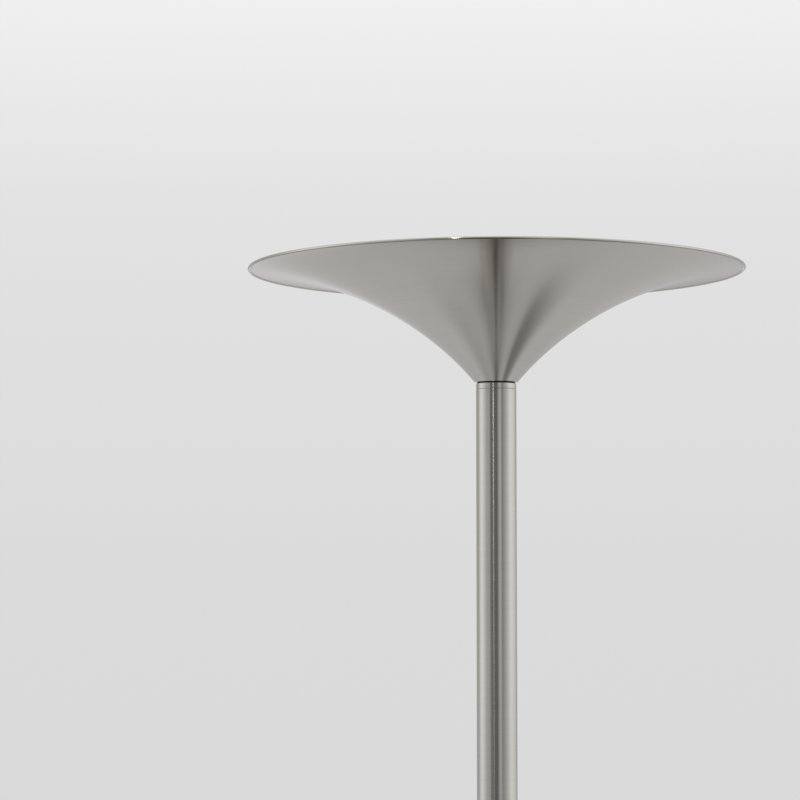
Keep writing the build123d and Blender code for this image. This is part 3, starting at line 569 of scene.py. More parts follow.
def set_world():
    world = bpy.data.worlds.new("studio")
    world.use_nodes = True
    bpy.context.scene.world = world
    tree = world.node_tree
    tree.nodes.clear()
    ray = node(tree, "SeparateXYZ", {"Vector": node(tree, "TexCoord").outputs["Generated"]})
    back = node(tree, "Math", {0: ray.outputs["Y"], 1: -1.0}, operation="MULTIPLY").outputs[0]
    turn = node(tree, "Math", {0: ray.outputs["X"], 1: back}, operation="ARCTAN2").outputs[0]
    heading = node(tree, "Math", {0: turn, 1: 180 / pi}, operation="MULTIPLY").outputs[0]
    rise = ray.outputs["Z"]
    above = fade(tree, rise, WALL_TO_CEILING)
    below = fade(tree, rise, WALL_TO_FLOOR)
    steep = fade(tree, rise, FAR_TO_NEAR)
    inputs = {0: ray.outputs["Y"], 1: LANE_LEAN, 2: 1.0}
    lean = node(tree, "Math", inputs, operation="MULTIPLY_ADD").outputs[0]
    across = node(tree, "Math", {0: ray.outputs["X"], 1: lean}, operation="MULTIPLY").outputs[0]
    depth = node(tree, "Math", {0: rise, 1: -1.0}, operation="MULTIPLY").outputs[0]
    lane = node(tree, "Math", {0: across, 1: depth}, operation="DIVIDE").outputs[0]
    around = shift(tree, above, grey_ramp(tree, heading, WALLS), (CEILING, CEILING, CEILING, 1))
    around = shift(tree, below, around, grey_ramp(tree, heading, FAR_FLOOR))
    around = shift(tree, steep, around, grey_ramp(tree, lane, NEAR_FLOOR))
    backdrop = grey_ramp(tree, rise, BACKDROP)
    shown = shift(tree, node(tree, "LightPath").outputs["Is Camera Ray"], around, backdrop)
    background = node(tree, "Background", {"Color": shown, "Strength": 1.0})
    node(tree, "OutputWorld", {"Surface": background.outputs["Background"]})


def soft_box(name, place, aim, size, power):
    """A rectangular soft light aimed at a point, out of the camera's sight."""
    bpy.ops.object.light_add(type="AREA", location=place)
    light = bpy.context.object
    light.name = name
    light.data.shape = "RECTANGLE"
    light.data.size, light.data.size_y = size
    light.data.energy = power
    light.rotation_euler = (Vector(aim) - Vector(place)).to_track_quat("-Z", "Y").to_euler()
    light.visible_camera = False
    return light


def set_lights():
    overhead = soft_box("overhead_soft_box", (-0.8, -0.6, 3.6), (0, 0, 1.0), (2.2, 2.2), 30)
    overhead.visible_glossy = False
    strip = soft_box("strip_light", (-0.89, -2.44, 2.85), (0, 0, 1.7), (0.07, 0.4), 4.4)
    strip.visible_diffuse = False


bpy.context.scene.view_settings.view_transform = "Standard"
set_camera()
set_floor()
set_world()
set_lights()


# ---------------------------------------------------------------- shade
def trumpet(inward):
    """Control points of the flare, moved inwards by this much."""
    along = (cos(NECK_SLOPE), sin(NECK_SLOPE))
    start = (NECK_RADIUS - along[1] * inward, NECK_Z + along[0] * inward)
    end = (RIM_MIDDLE, RIM_Z - SHEET / 2 + inward)
    return [
        start,
        (start[0] + along[0] * NECK_HANDLE, start[1] + along[1] * NECK_HANDLE),
        (end[0] - RIM_HANDLE, end[1]),
        end,
    ]


def make_shade():
    """Spun trumpet with a floor at its neck and a rolled bead at its rim."""
    corner = 0.8
    reach = corner * sin(NECK_SLOPE / 2) / cos(NECK_SLOPE / 2)
    bead_start = degrees(asin(SHEET / 2 / BEAD))
    bead_reach = RIM_MIDDLE - BEAD * cos(radians(bead_start))
    outer = [p for p in bezier(trumpet(0), 110, 0.006) if p[0] < bead_reach - 0.3]
    inner = [p for p in bezier(trumpet(SHEET), 110) if p[0] < bead_reach - 0.3]
    section = [(ROD_CLEAR, NECK_Z)]
    section += arc((NECK_RADIUS - reach, NECK_Z + corner), corner, -90, -90 + degrees(NECK_SLOPE), 6)
    section += outer
    crease = RIM_MIDDLE - BEAD - 0.6
    crease_top = RIM_Z + 0.15
    section += [(crease, RIM_Z - SHEET / 2), (crease + 0.05, crease_top), (crease + 0.8, crease_top)]
    rolled = (RIM_MIDDLE, RIM_Z)
    section += arc(rolled, BEAD, bead_start - 180, -56, 10)
    section += arc(rolled, BEAD - 0.5, -52, -34, 2)
    section += arc(rolled, BEAD, -30, 180 - bead_start, 16)
    neck_floor = NECK_Z + 1.2
    section += reversed([p for p in inner if p[1] > NECK_Z + 1.3])
    section += [(NECK_RADIUS - 0.3, neck_floor), (ROD_CLEAR, neck_floor)]
    return turned("shade_spinning", section, 288, 28)


# ---------------------------------------------------------------- reflector and diffuser
LEDGE = 66.0
LEDGE_RADIUS = 100.6
LIP_FOOT = 3.2
FOIL = 0.6


def reflector_lip(lift):
    """Control points of the reflector's outer wall, raised by this much."""
    slope = radians(22)
    start = (LEDGE_RADIUS, NECK_Z + LEDGE + LIP_FOOT + lift)
    end = (RIM_MIDDLE - 1.4, RIM_Z + SHEET / 2 + lift)
    return [
        start,
        (start[0] + 30 * cos(slope), start[1] + 30 * sin(slope)),
        (end[0] - 45, end[1]),
        end,
    ]


def make_reflector():
    """Spun liner: a flat floor, a slope up to the diffuser's ledge, and a lip under the rim."""
    ledge = NECK_Z + LEDGE
    hole, floor_edge, ledge_start, inside = 48, 77, 90, 100
    section = [(hole, PLATE_TOP), (floor_edge, PLATE_TOP), (ledge_start, ledge), (LEDGE_RADIUS, ledge)]
    section += bezier(reflector_lip(0), 60)
    section += reversed(bezier(reflector_lip(FOIL), 60))
    section += [(inside, ledge + LIP_FOOT), (inside, ledge + FOIL), (ledge_start - 0.4, ledge + FOIL)]
    section += [(floor_edge - 0.4, PLATE_TOP + FOIL), (hole, PLATE_TOP + FOIL)]
    piece = turned("reflector_spinning", section, 240, 30, ease=0.25)
    for x, y in three_round(REFLECTOR_SCREWS):
        cut(piece, pin(1.7, 3, (x, y, PLATE_TOP + FOIL / 2), vertices=24))
    return settle(piece, "reflector_spinning", 30)


def make_diffuser():
    """Shallow moulded dome with a short upright edge."""
    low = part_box("diffuser")[0].z / MM
    radius, wall, foot, edge, crown = 98.5, 2.5, 4.0, 3.0, 7.0
    dome = (radius**2 + crown**2) / (2 * crown)
    middle = (0, low + edge + crown - dome)
    outer = degrees(asin((radius - 0.8) / dome))
    inner = degrees(asin((radius - foot) / (dome - wall)))
    section = arc(middle, dome, 89.95, 90 - outer, 36)
    section += arc((radius - 1, low + edge - 1), 1, 80, 0, 5)
    section += [(radius, low + 0.4), (radius - 0.4, low)]
    section += [(radius - foot + 0.3, low), (radius - foot, low + 0.3)]
    section += arc(middle, dome - wall, 90 - inner, 89.95, 30)
    return turned("opal_diffuser", section, 192, 30, closed=False)


# ---------------------------------------------------------------- pole
def make_tube(name, node_name):
    """A pole tube with its ends broken, which shows as a fine line at each joint."""
    low, high = heights(node_name)
    section = [
        (POLE_BORE, low), (POLE_RADIUS - SEAM, low), (POLE_RADIUS, low + SEAM),
        (POLE_RADIUS, high - SEAM), (POLE_RADIUS - SEAM, high), (POLE_BORE, high),
    ]
    return turned(name, section, 144, 30)


COLLAR_RING = 4.5
COLLAR_SPIGOT = 14.0


def make_collar(name, ring_bottom, spigot_bottom):
    """Turned plug: a ring flush with the pole, and a narrower spigot that sits in the tube."""
    ring_top = ring_bottom + COLLAR_RING
    low, high = min(ring_bottom, spigot_bottom), max(ring_top, spigot_bottom + COLLAR_SPIGOT)
    below = [(POLE_BORE - 0.5, low), (POLE_BORE, low + 0.5), (POLE_BORE, ring_bottom)]
    above = [(POLE_BORE, ring_top), (POLE_BORE, high - 0.5), (POLE_BORE - 0.5, high)]
    ring = [
        (POLE_RADIUS - SEAM, ring_bottom), (POLE_RADIUS, ring_bottom + SEAM),
        (POLE_RADIUS, ring_top - SEAM), (POLE_RADIUS - SEAM, ring_top),
    ]
    outside = (below if spigot_bottom < ring_bottom else []) + ring
    outside += above if spigot_bottom > ring_bottom else []
    section = [(5.5, low), *outside, (5.5, high), (5.0, high - 0.5), (5.0, low + 0.5)]
    return turned(name, section, 144, 30)


# ---------------------------------------------------------------- fasteners
def thread_line(radius, low, high, pitch, depth):
    """The outline of a screw thread, crests and roots, from low to high."""
    count = int((high - low) / pitch)
    rise = (high - low) / count
    line = []
    for i in range(count):
        start = low + i * rise
        line += [(radius - depth, start + 0.08 * rise)]
        line += [(radius, start + 0.46 * rise), (radius, start + 0.58 * rise)]
    return line + [(radius - depth, high - 0.02)]


def make_rod(name, cad_name, radius, bore, pitch):
    """A hollow threaded rod with its ends broken."""
    low, high = heights(cad_name)
    section = [(bore, low + 0.3), (bore + 0.3, low), (radius - 0.6, low)]
    section += thread_line(radius, low + 0.3, high - 0.3, pitch, 0.5 * pitch)
    section += [(radius - 0.6, high), (bore + 0.3, high), (bore, high - 0.3)]
    return turned(name, section, 64, 30)


def make_nut(name, near, far, across, hole, along="Z", height=0.0):
    """A hexagon nut: a turned disc with its corners taken off, cut to six flats."""
    corner = across / 2 / cos(pi / 6)
    slope = 0.12 * across
    drop = 0.58 * slope
    section = [
        (hole, near + 0.4), (hole + 0.4, near), (corner - slope, near), (corner, near + drop),
        (corner, far - drop), (corner - slope, far), (hole + 0.4, far), (hole, far - 0.4),
    ]
    piece = turned(name, section, 96, 30, along=along, height=height)
    middle = (near + far) / 2
    upright = along == "Z"
    place = (0, 0, middle) if upright else (0, -middle, height)
    prism = pin(corner * 1.001, 2 * (far - near), place, (0, 0, 0) if upright else ALONG_Y, 6)
    combine(piece, prism, "INTERSECT")
    ease_edges(piece, 0.12, 2, 20)
    return settle(piece, name, 30)


def make_ring(name, cad_name, bore, ease=0.2, pitch=0.0):
    """A turned ring with its edges broken. With a pitch, its bore is threaded."""
    bottom, top = (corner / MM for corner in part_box(cad_name))
    radius, low, high = top.x, bottom.z, top.z
    section = [(bore + ease, low), (radius - ease, low), (radius, low + ease), (radius, high - ease)]
    section += [(radius - ease, high), (bore + ease, high)]
    if pitch:
        section += reversed(thread_line(bore + 0.4 * pitch, low + ease, high - ease, pitch, 0.4 * pitch))
    else:
        section += [(bore, high - ease), (bore, low + ease)]
    return turned(name, section, 96, 30)


def make_lock_washer(name, cad_name):
    """A thin ring with twelve twisted teeth round its edge."""
    low, high = heights(cad_name)
    middle = (low + high) / 2
    count, edge, tooth_radius = 12, 7.2, 7.85
    section = [(ROD_CLEAR, low + 0.1), (ROD_CLEAR + 0.1, low), (edge - 0.1, low), (edge, low + 0.1)]
    section += [(edge, high - 0.1), (edge - 0.1, high)]
    section += [(ROD_CLEAR + 0.1, high), (ROD_CLEAR, high - 0.1)]
    piece = turned(name, section, 72, 30)
    tooth = block((2.1, 2.0, 0.66), (tooth_radius, 0, middle))
    ease_edges(tooth, 0.08, 1, 30)
    bpy.ops.object.mode_set(mode="EDIT")
    bpy.ops.mesh.select_all(action="SELECT")
    pivot = (tooth_radius * MM, 0, middle * MM)
    bpy.ops.transform.rotate(value=radians(7), orient_axis="X", center_override=pivot)
    bpy.ops.object.mode_set(mode="OBJECT")
    teeth = spread_copies(tooth, "teeth", [(0, 0, tau * i / count) for i in range(count)])
    combine(piece, teeth, "UNION")
    return settle(piece, name, 30)


def make_screws(name, seat, ring):
    """Three pan-head screws on a ring: domed heads with a cross slot, threaded shanks."""
    head, tall, shank, length = 2.8, 2.0, 1.5, 5.0
    top, tip = seat + tall, seat - length
    section = [(0.01, top), (1.2, top - 0.06), (2.1, top - 0.35), (2.6, top - 0.85)]
    section += [(head, top - 1.3), (head, seat + 0.12), (head - 0.12, seat), (shank, seat)]
    thread = thread_line(shank, tip + 0.5, seat - 0.4, 0.6, 0.25)
    section += [(r, 2 * seat - length - z) for r, z in thread]
    section += [(0.9, tip), (0.01, tip)]
    screw = turned(name, section, 40, 35, closed=False)
    for turn in (0, pi / 2):
        cut(screw, block((2.9, 0.62, 1.1), (0, 0, top - 0.3), turn))
    return spread_copies(screw, name, [(x, y, 1.3 * i) for i, (x, y) in enumerate(three_round(ring))])


# ---------------------------------------------------------------- base
def make_base_cover():
    """Spun cover: flat top, rounded shoulder, and a lower edge that is turned in."""
    wall, edge, low = 1.2, 4.0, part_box("base_cover")[0].z / MM
    middle = (BASE_RADIUS - edge, BASE_TOP - edge)
    section = [(ROD_CLEAR, BASE_TOP), (ROD_CLEAR + 40, BASE_TOP), (ROD_CLEAR + 90, BASE_TOP)]
    section += arc(middle, edge, 90, 0, 14)
    section += [(BASE_RADIUS, low + 0.5)]
    section += arc((BASE_RADIUS - 0.5, low + 0.5), 0.5, -20, -90, 5)
    section += [(BASE_RADIUS - wall, low), (BASE_RADIUS - wall, BASE_TOP - edge - 0.2)]
    section += arc(middle, edge - wall, 2, 90, 10)
    section += [(ROD_CLEAR, BASE_TOP - wall)]
    piece = turned("base_cover_spinning", section, 288, 28)
    gland_hole = pin(5.1, 20, (0, BASE_RADIUS, GLAND_Z), ALONG_Y, 48)
    cut(piece, gland_hole)
    return settle(piece, "base_cover_spinning", 28)


def make_base_pad():
    """Moulded rubber ring with round ribs under it."""
    low, high, inner, outer, ribs = 0.0, WEIGHT_LOW, 34.0, BASE_RADIUS - 6, 20
    pitch = (outer - inner) / ribs
    section = [(inner, low + 0.5)]
    for i in range(ribs):
        start = inner + i * pitch
        section += [(start + 0.5, low), (start + pitch - 1.4, low), (start + pitch - 0.9, low + 0.7)]
        section += [(start + pitch - 0.2, low + 0.7)] if i < ribs - 1 else [(outer, low + 0.7)]
    section += [(outer, high - 0.4), (outer - 0.4, high), (inner + 0.4, high), (inner, high - 0.4)]
    return turned("base_pad_moulding", section, 160, 30)


def make_base_weight():
    """Sand-cast disc, hollowed below for the nut, the lead and the terminal block."""
    radius, top, low = BASE_RADIUS - 2.0, BASE_TOP - 1.2, WEIGHT_LOW
    section = [
        (ROD_CLEAR, low), (30, low), (60, low), (radius - 0.8, low), (radius, low + 0.8),
        (radius, top - 3.2), (radius - 3.2, top), (60, top), (30, top), (ROD_CLEAR, top),
    ]
    piece = turned("base_weight_casting", section, 144, 30)
    nut_recess = pin(20, 30, (0, 0, 3), vertices=64)
    lead_channel = block((14, 140, 24), (0, 70, 3))
    terminal_pocket = block((28, 22, 30), (0, TERMINAL_Y, 3))
    gland_slot = block((20, 44, 60), (0, 140, 12))
    for cutter in (nut_recess, lead_channel, terminal_pocket, gland_slot):
        cut(piece, cutter)
    ease_edges(piece, 0.7, 2, 40)
    return settle(piece, "base_weight_casting", 35)


def make_gland():
    """Moulded bush: a threaded barrel through the wall, a flange, and a ribbed flexible nose."""
    wall = -BASE_RADIUS
    inner_end, bore, flange = 12 + wall, 3.6, 7.5
    section = [(bore, inner_end + 0.3), (bore + 0.3, inner_end), (4.4, inner_end)]
    section += thread_line(5.0, inner_end - 11.6, inner_end - 0.4, 1.5, 0.55)[::-1]
    section += [(4.9, wall), (flange - 0.3, wall), (flange, wall - 0.3)]
    section += [(flange, wall - 1.6), (flange - 0.4, wall - 2)]
    for i in range(4):
        start = wall - 2.6 - 2.2 * i
        size = 6.4 - 0.34 * i
        section += [(size, start), (size - 0.12, start - 1.2)]
        section += [(size - 0.9, start - 1.35), (size - 0.95, start - 1.95)]
    section += [(4.9, wall - 11.5), (4.6, wall - 12), (bore + 0.3, wall - 12), (bore, wall - 11.7)]
    return turned("cord_gland_bush", section, 72, 32, along="Y", height=GLAND_Z)


def make_terminal_block():
    """Three-way connector: a moulded body with wire ways, screw wells and splits between its poles."""
    low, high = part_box("terminal_block")
    middle = (low + high) / 2 / MM
    wide, deep, tall = (high - low) / MM
    piece = block((wide, deep, tall), middle)
    ease_edges(piece, 0.6, 3, 30)
    for x in (-3.75, 3.75):
        cut(piece, block((1, deep - 6, tall + 2), (x, middle.y, middle.z)))
    for x in TERMINAL_WAYS:
        cut(piece, pin(1.6, deep + 4, (x, middle.y, middle.z + 2), ALONG_Y, 24))
        cut(piece, pin(2.3, 2.4, (x, middle.y - deep / 2, middle.z + 2), ALONG_Y, 24))
        for y in TERMINAL_ROWS:
            cut(piece, pin(1.85, 6.4, (x, middle.y + y, middle.z - tall / 2 + 3.2), vertices=24))
    ease_edges(piece, 0.12, 2, 50)
    return settle(piece, "terminal_block_moulding", 30)


# ---------------------------------------------------------------- dimmer
POINTER_OUT = 5.9
POINTER_HEADING = radians(225)


def pointer_bar(size, middle):
    """A bar on the knob's face, turned to where the pointer rests."""
    bar = block(size, middle)
    bar.rotation_euler = (0, -POINTER_HEADING, 0)
    bar.location = (0, 0, DIMMER_Z * MM)
    bpy.context.view_layer.objects.active = bar
    bpy.ops.object.transform_apply(location=True, rotation=True, scale=True)
    return bar


def make_knob():
    """Turned knob with a straight knurl between two plain bands, and a slot for its pointer."""
    back, front, floor = KNOB_BACK, KNOB_FRONT, KNOB_BACK + 5
    band, flutes, each, rim = 2.0, 48, 4, KNOB_RADIUS
    hollow, bore = 9, 3
    section = [(0.01, front), (8.9, front), (9.05, front - 0.2), (9.35, front - 0.2), (9.5, front)]
    section += [(rim - 0.8, front), (rim - 0.2, front - 0.35), (rim, front - 0.9), (rim, front - band)]
    section += [(rim, front - band - 0.35), (rim, back + band + 0.35), (rim, back + band)]
    section += [(rim, back + 0.3), (rim - 0.3, back), (hollow, back), (hollow, floor)]
    section += [(bore, floor), (bore, front - 3), (0.01, front - 3)]
    steps = flutes * each
    piece = turned(
        "dimmer_knob_turning", section, steps, 30, along="Y", height=DIMMER_Z, closed=False
    )
    bpy.ops.object.mode_set(mode="EDIT")
    step = tau / steps

    def in_flute(place):
        fore = -place.y / MM
        across = (place.x, place.z - DIMMER_Z * MM)
        turn = round(atan2(across[1], across[0]) / step)
        near = hypot(*across) > (rim - 0.05) * MM
        return near and back + band + 0.3 < fore < front - band - 0.3 and turn % each == 0

    select_verts(piece, in_flute)
    inward = (rim - 0.45) / rim
    bpy.ops.transform.resize(value=(inward, 1, inward), center_override=(0, 0, DIMMER_Z * MM))
    bpy.ops.object.mode_set(mode="OBJECT")
    cut(piece, pointer_bar((6.3, 1.0, 1.4), (POINTER_OUT, -front, 0)))
    cut(piece, pin(1.5, 12, (0, -(floor + 4), DIMMER_Z - 8), vertices=24))
    return settle(piece, "dimmer_knob_turning", 30)


def make_pointer():
    """White bar let into the knob's face, with its edges eased."""
    bar = pointer_bar((5.9, 0.5, 1.1), (POINTER_OUT, -KNOB_FRONT + 0.25, 0))
    ease_edges(bar, 0.1, 2, 30)
    return settle(bar, "knob_pointer_inlay", 30)


def make_saddle():
    """Washer turned with a chamfered face and scooped to fit the pole."""
    near, far = depths("dimmer_saddle")
    section = [(4.1, near), (4.1, far - 0.2), (4.3, far), (8.3, far), (9, far - 0.5), (9, near)]
    piece = turned("dimmer_saddle_washer", section, 96, 30, along="Y", height=DIMMER_Z)
    cut(piece, pin(POLE_RADIUS, 40, (0, 0, DIMMER_Z), vertices=144))
    return settle(piece, "dimmer_saddle_washer", 30)


def make_dimmer_body():
    """Moulded housing with a moulding line round it and a threaded bushing in front."""
    near, far, wide, tall = -5.0, 11.0, 18, 26
    bore, bush_radius, bush_end = 3.05, 4.0, POLE_RADIUS + 6.5
    bush = [(bore, far - 6), (bush_radius, far - 6)]
    bush += thread_line(bush_radius, far, POLE_RADIUS + 6.2, 0.75, 0.35)
    bush += [(3.6, bush_end), (3.2, bush_end), (bore, POLE_RADIUS + 6.3)]
    piece = block((wide, far - near, tall), (0, -(near + far) / 2, DIMMER_Z))
    ease_edges(piece, 1.2, 3, 30)
    for inset in (3.0, 5.5):
        rim = block((wide + 1, 0.4, tall + 1), (0, -(near + inset), DIMMER_Z))
        cut(rim, block((17.4, 2, 25.4), (0, -(near + inset), DIMMER_Z)))
        cut(piece, rim)
    cut(piece, pin(3.5, 12, (0, -far, DIMMER_Z), ALONG_Y))
    bushing = turned("bushing", bush, 64, 30, along="Y", height=DIMMER_Z)
    combine(piece, bushing, "UNION")
    return settle(piece, "dimmer_housing", 30)


def make_shaft():
    """Turned spindle with a flat milled under its outer end."""
    near, far = depths("dimmer_shaft")
    section = [(0.01, near), (2.7, near), (3, near + 0.3), (3, far - 0.5), (2.5, far), (0.01, far)]
    piece = turned("dimmer_spindle", section, 64, 30, along="Y", height=DIMMER_Z, closed=False)
    cut(piece, block((8, 8.5, 2), (0, -(far - 4.25), DIMMER_Z - 3.5)))
    return settle(piece, "dimmer_spindle", 30)


def make_grub_screw():
    """Socket set screw with a cupped point."""
    low, high = heights("knob_grub_screw")
    section = [(0.01, low), (1.1, low), (1.25, low + 0.25)]
    section += thread_line(1.5, low + 0.25, high - 0.5, 0.5, 0.2)
    section += [(0.8, high), (0.3, high - 0.4), (0.01, high - 0.5)]
    screw = turned("grub", section, 40, 30, closed=False)
    cut(screw, pin(0.85, 4, (0, 0, low), vertices=6))
    return spread_copies(screw, "knob_set_screw", [(0, -(KNOB_BACK + 9), 0)])


def make_terminal_screws():
    """Six cheese-head screws of the terminal block, their slots facing down."""
    low, high = heights("terminal_screws")
    section = [(0.01, low), (1.6, low), (1.8, low + 0.2), (1.8, low + 1.4), (1.3, low + 1.5)]
    section += thread_line(1.4, low + 1.6, high - 0.3, 0.5, 0.22) + [(0.8, high), (0.01, high)]
    screw = turned("screw", section, 40, 30, closed=False)
    cut(screw, block((4, 0.6, 1.2), (0, 0, low), 0.4))
    places = [(x, TERMINAL_Y + y, 0.9 * x + y) for x in TERMINAL_WAYS for y in TERMINAL_ROWS]
    return spread_copies(screw, "terminal_screw_set", places)


# ---------------------------------------------------------------- driver
DRIVER_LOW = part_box("driver_case")[0].z / MM
DRIVER_MIDDLE = DRIVER_LOW + 60
COIL_Z = DRIVER_LOW + 62


def make_driver_half(name, front, back, vents):
    """Half of a moulded case: rounded outside, hollow inside, slotted for air."""
    wide, deep, tall, walls = 22, 18, 120, 3
    piece = block((wide, deep, tall), (0, 0, DRIVER_MIDDLE))
    ease_edges(piece, 2.4, 4, 30)
    cut(piece, block((wide - walls, deep - walls, tall - walls), (0, 0, DRIVER_MIDDLE)))
    keep = block((wide + 2, back - front, tall + 4), (0, (front + back) / 2, DRIVER_MIDDLE))
    combine(piece, keep, "INTERSECT")
    for i in range(vents):
        for z in (DRIVER_LOW + 14 + 4 * i, DRIVER_LOW + 106 - 4 * i):
            cut(piece, block((11, 4, 1.4), (0, front, z)))
    ease_edges(piece, 0.15, 1, 50)
    return settle(piece, name, 30)


def make_driver_board():
    """Board with a wound choke, two sleeved capacitors and a chip with its legs."""
    face = 3.0
    board = block((18, 1.6, 110), (0, face + 0.8, DRIVER_MIDDLE))
    ease_edges(board, 0.12, 1, 30)
    board.data.materials.append(green_board)
    parts = [board]
    for x, z in ((-4, DRIVER_LOW + 22), (4, DRIVER_LOW + 34)):
        section = [(0.01, -face), (3.7, -face), (4, 0.3 - face), (4, 4.6), (3.75, 4.9)]
        section += [(3.75, 5.2), (4, 5.5), (4, 5.7), (3.6, 6), (3.3, 5.8), (0.01, 5.8)]
        can = turned("can", section, 48, 35, along="Y", height=z, closed=False)
        can.location.x = x * MM
        can.data.materials.append(black_nylon)
        can.data.materials.append(zinc)
        bpy.ops.object.mode_set(mode="EDIT")
        select_faces(can, lambda middle, normal: middle.y < -5.75 * MM)
        can.active_material_index = 1
        bpy.ops.object.material_slot_assign()
        bpy.ops.object.mode_set(mode="OBJECT")
        parts.append(can)
    chip = block((6.2, 1.8, 9.6), (3, face - 1.1, DRIVER_LOW + 98))
    ease_edges(chip, 0.2, 2, 30)
    cut(chip, pin(0.5, 0.4, (1.2, face - 2.0, DRIVER_LOW + 101.4), ALONG_Y, 20))
    chip.data.materials.append(black_nylon)
    parts.append(chip)
    for i in range(8):
        for side in (-1, 1):
            leg = block((1.0, 1.0, 0.45), (3 + 3.5 * side, face - 0.5, DRIVER_LOW + 93.8 + 1.2 * i))
            ease_edges(leg, 0.1, 1, 30)
            leg.data.materials.append(zinc)
            parts.append(leg)
    for y in (face - 0.6, face - 6.4):
        flange = block((13, 1.2, 18), (0, y, COIL_Z))
        ease_edges(flange, 0.3, 2, 30)
        flange.data.materials.append(black_nylon)
        parts.append(flange)
    section = [(5.4, 1.3 - face)]
    for i in range(9):
        start = 1.3 - face + 0.5 * i
        section += [(5.8, start + 0.1), (5.95, start + 0.25), (5.8, start + 0.4), (5.6, start + 0.5)]
    section += [(5.4, 5.8 - face)]
    coil = turned("coil", section, 64, 35, along="Y", height=COIL_Z)
    coil.data.materials.append(brass)
    parts.append(coil)
    return join_up(parts, "driver_circuit_board")


# ---------------------------------------------------------------- light engine
def make_heat_sink():
    """Die casting: a plate and boss, with drafted fins joined under it."""
    under, boss_low, fin_low = PLATE_TOP - 3, PLATE_TOP - 26, PLATE_TOP - 12
    boss, edge, fin_count, fin_middle = 10.9, 58, 24, 34.4
    section = [(ROD_RADIUS, boss_low + 0.5), (ROD_RADIUS + 0.5, boss_low), (boss - 0.5, boss_low)]
    section += [(boss, boss_low + 0.5), (11.4, under - 1.2), (12.6, under), (edge - 0.8, under)]
    section += [(edge, under + 0.8), (edge, PLATE_TOP - 0.5), (edge - 0.5, PLATE_TOP)]
    section += [(ROD_RADIUS + 0.5, PLATE_TOP), (ROD_RADIUS, PLATE_TOP - 0.5)]
    plate = turned("heat_sink_casting", section, 144, 30)
    fin = block((46.4, 1.9, under - fin_low + 0.6), (fin_middle, 0, (under + fin_low) / 2 + 0.3))
    bpy.ops.object.select_all(action="DESELECT")
    bpy.context.view_layer.objects.active = fin
    bpy.ops.object.mode_set(mode="EDIT")
    select_verts(fin, lambda place: place.z < (fin_low + 1) * MM)
    pivot = (fin_middle * MM, 0, fin_low * MM)
    bpy.ops.transform.resize(value=(0.97, 0.6, 1), center_override=pivot)
    bpy.ops.object.mode_set(mode="OBJECT")
    ease_edges(fin, 0.3, 2, 30)
    fins = spread_copies(fin, "fins", [(0, 0, tau * i / fin_count) for i in range(fin_count)])
    combine(plate, fins, "UNION")
    for x, y in three_round(BOARD_SCREWS) + three_round(REFLECTOR_SCREWS):
        cut(plate, pin(1.5, 12, (x, y, PLATE_TOP), vertices=20))
    return settle(plate, "heat_sink_casting", 30)


def make_chips():
    """LED packages: white walls round a slightly sunk pool of phosphor."""
    low, tall = PLATE_TOP + BOARD_THICK, 0.8
    chip = block((3.5, 2.8, tall), (0, 0, low + tall / 2))
    chip.data.materials.append(white_nylon)
    chip.data.materials.append(phosphor)
    ease_edges(chip, 0.12, 1, 30)
    bpy.ops.object.mode_set(mode="EDIT")
    select_faces(chip, lambda middle, normal: normal.z > 0.99 and middle.z > (low + tall - 0.01) * MM)
    bpy.ops.mesh.inset(thickness=0.35 * MM)
    chip.active_material_index = 1
    bpy.ops.object.material_slot_assign()
    bpy.ops.transform.translate(value=(0, 0, -0.12 * MM))
    bpy.ops.object.mode_set(mode="OBJECT")
    places = []
    for radius, count in ((27.0, 14), (36.0, 20)):
        for i in range(count):
            turn = tau * (i + 0.5) / count
            places.append((radius * cos(turn), radius * sin(turn), turn))
    return spread_copies(chip, "led_packages", places)


def make_connector():
    """Board connector: an open-fronted housing with a latch bump on its back."""
    low, high = (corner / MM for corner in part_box("led_connector"))
    wide, deep, tall = high - low
    piece = block((wide, deep, tall), (low + high) / 2)
    ease_edges(piece, 0.5, 2, 30)
    cut(piece, block((wide - 2, 3, tall - 2.4), (0, low.y, low.z + tall / 2 + 0.2)))
    for x in (-3.2, 3.2):
        cut(piece, block((0.9, 2.4, tall), (x, high.y, low.z + tall * 0.8)))
    ease_edges(piece, 0.12, 1, 50)
    return settle(piece, "led_connector_housing", 30)


def dress_as_made(piece, *replaced, body="stand", slot):
    """Give a piece the CAD nodes it stands for and the body it rides on; the slot argument is not used."""
    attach(piece, body)
    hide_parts(*replaced)
    return piece


def dress(piece, material, *replaced, body="stand", slot):
    """As dress_as_made, for a piece that is given its finish here."""
    piece.data.materials.clear()
    piece.data.materials.append(material)
    return dress_as_made(piece, *replaced, body=body, slot=slot)


def dress_cad(material, *names):
    """Give CAD nodes that are shown as they are a finished material."""
    for name in names:
        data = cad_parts[name].data
        data.materials.clear()
        data.materials.append(material)


nickel = brushed_nickel("brushed_nickel")
knob_nickel = brushed_nickel("knob_nickel", axis="Y", middle=(0, DIMMER_Z * MM, 0), turn=ALONG_Y)
zinc = turned_metal("zinc_steel", (0.63, 0.65, 0.68), 0.30)
brass = turned_metal("turned_brass", (0.76, 0.60, 0.32), 0.24)
black_oxide = turned_metal("black_oxide_steel", (0.06, 0.06, 0.065), 0.40)
iron = cast_iron()
sink = cast_aluminium()
black_rubber = rubber()
black_nylon = moulded("black_nylon", (0.022, 0.022, 0.024), 0.45)
white_nylon = moulded("white_nylon", (0.74, 0.74, 0.72), 0.42)
lead_pvc = moulded("lead_pvc", (0.62, 0.62, 0.60), 0.38, 800.0, 0.00002)
phosphor = moulded("led_phosphor", (0.83, 0.62, 0.13), 0.18, 900.0, 0.00002, Coat_Weight=0.8)
white_paint = enamel()
opal = opal_acrylic()
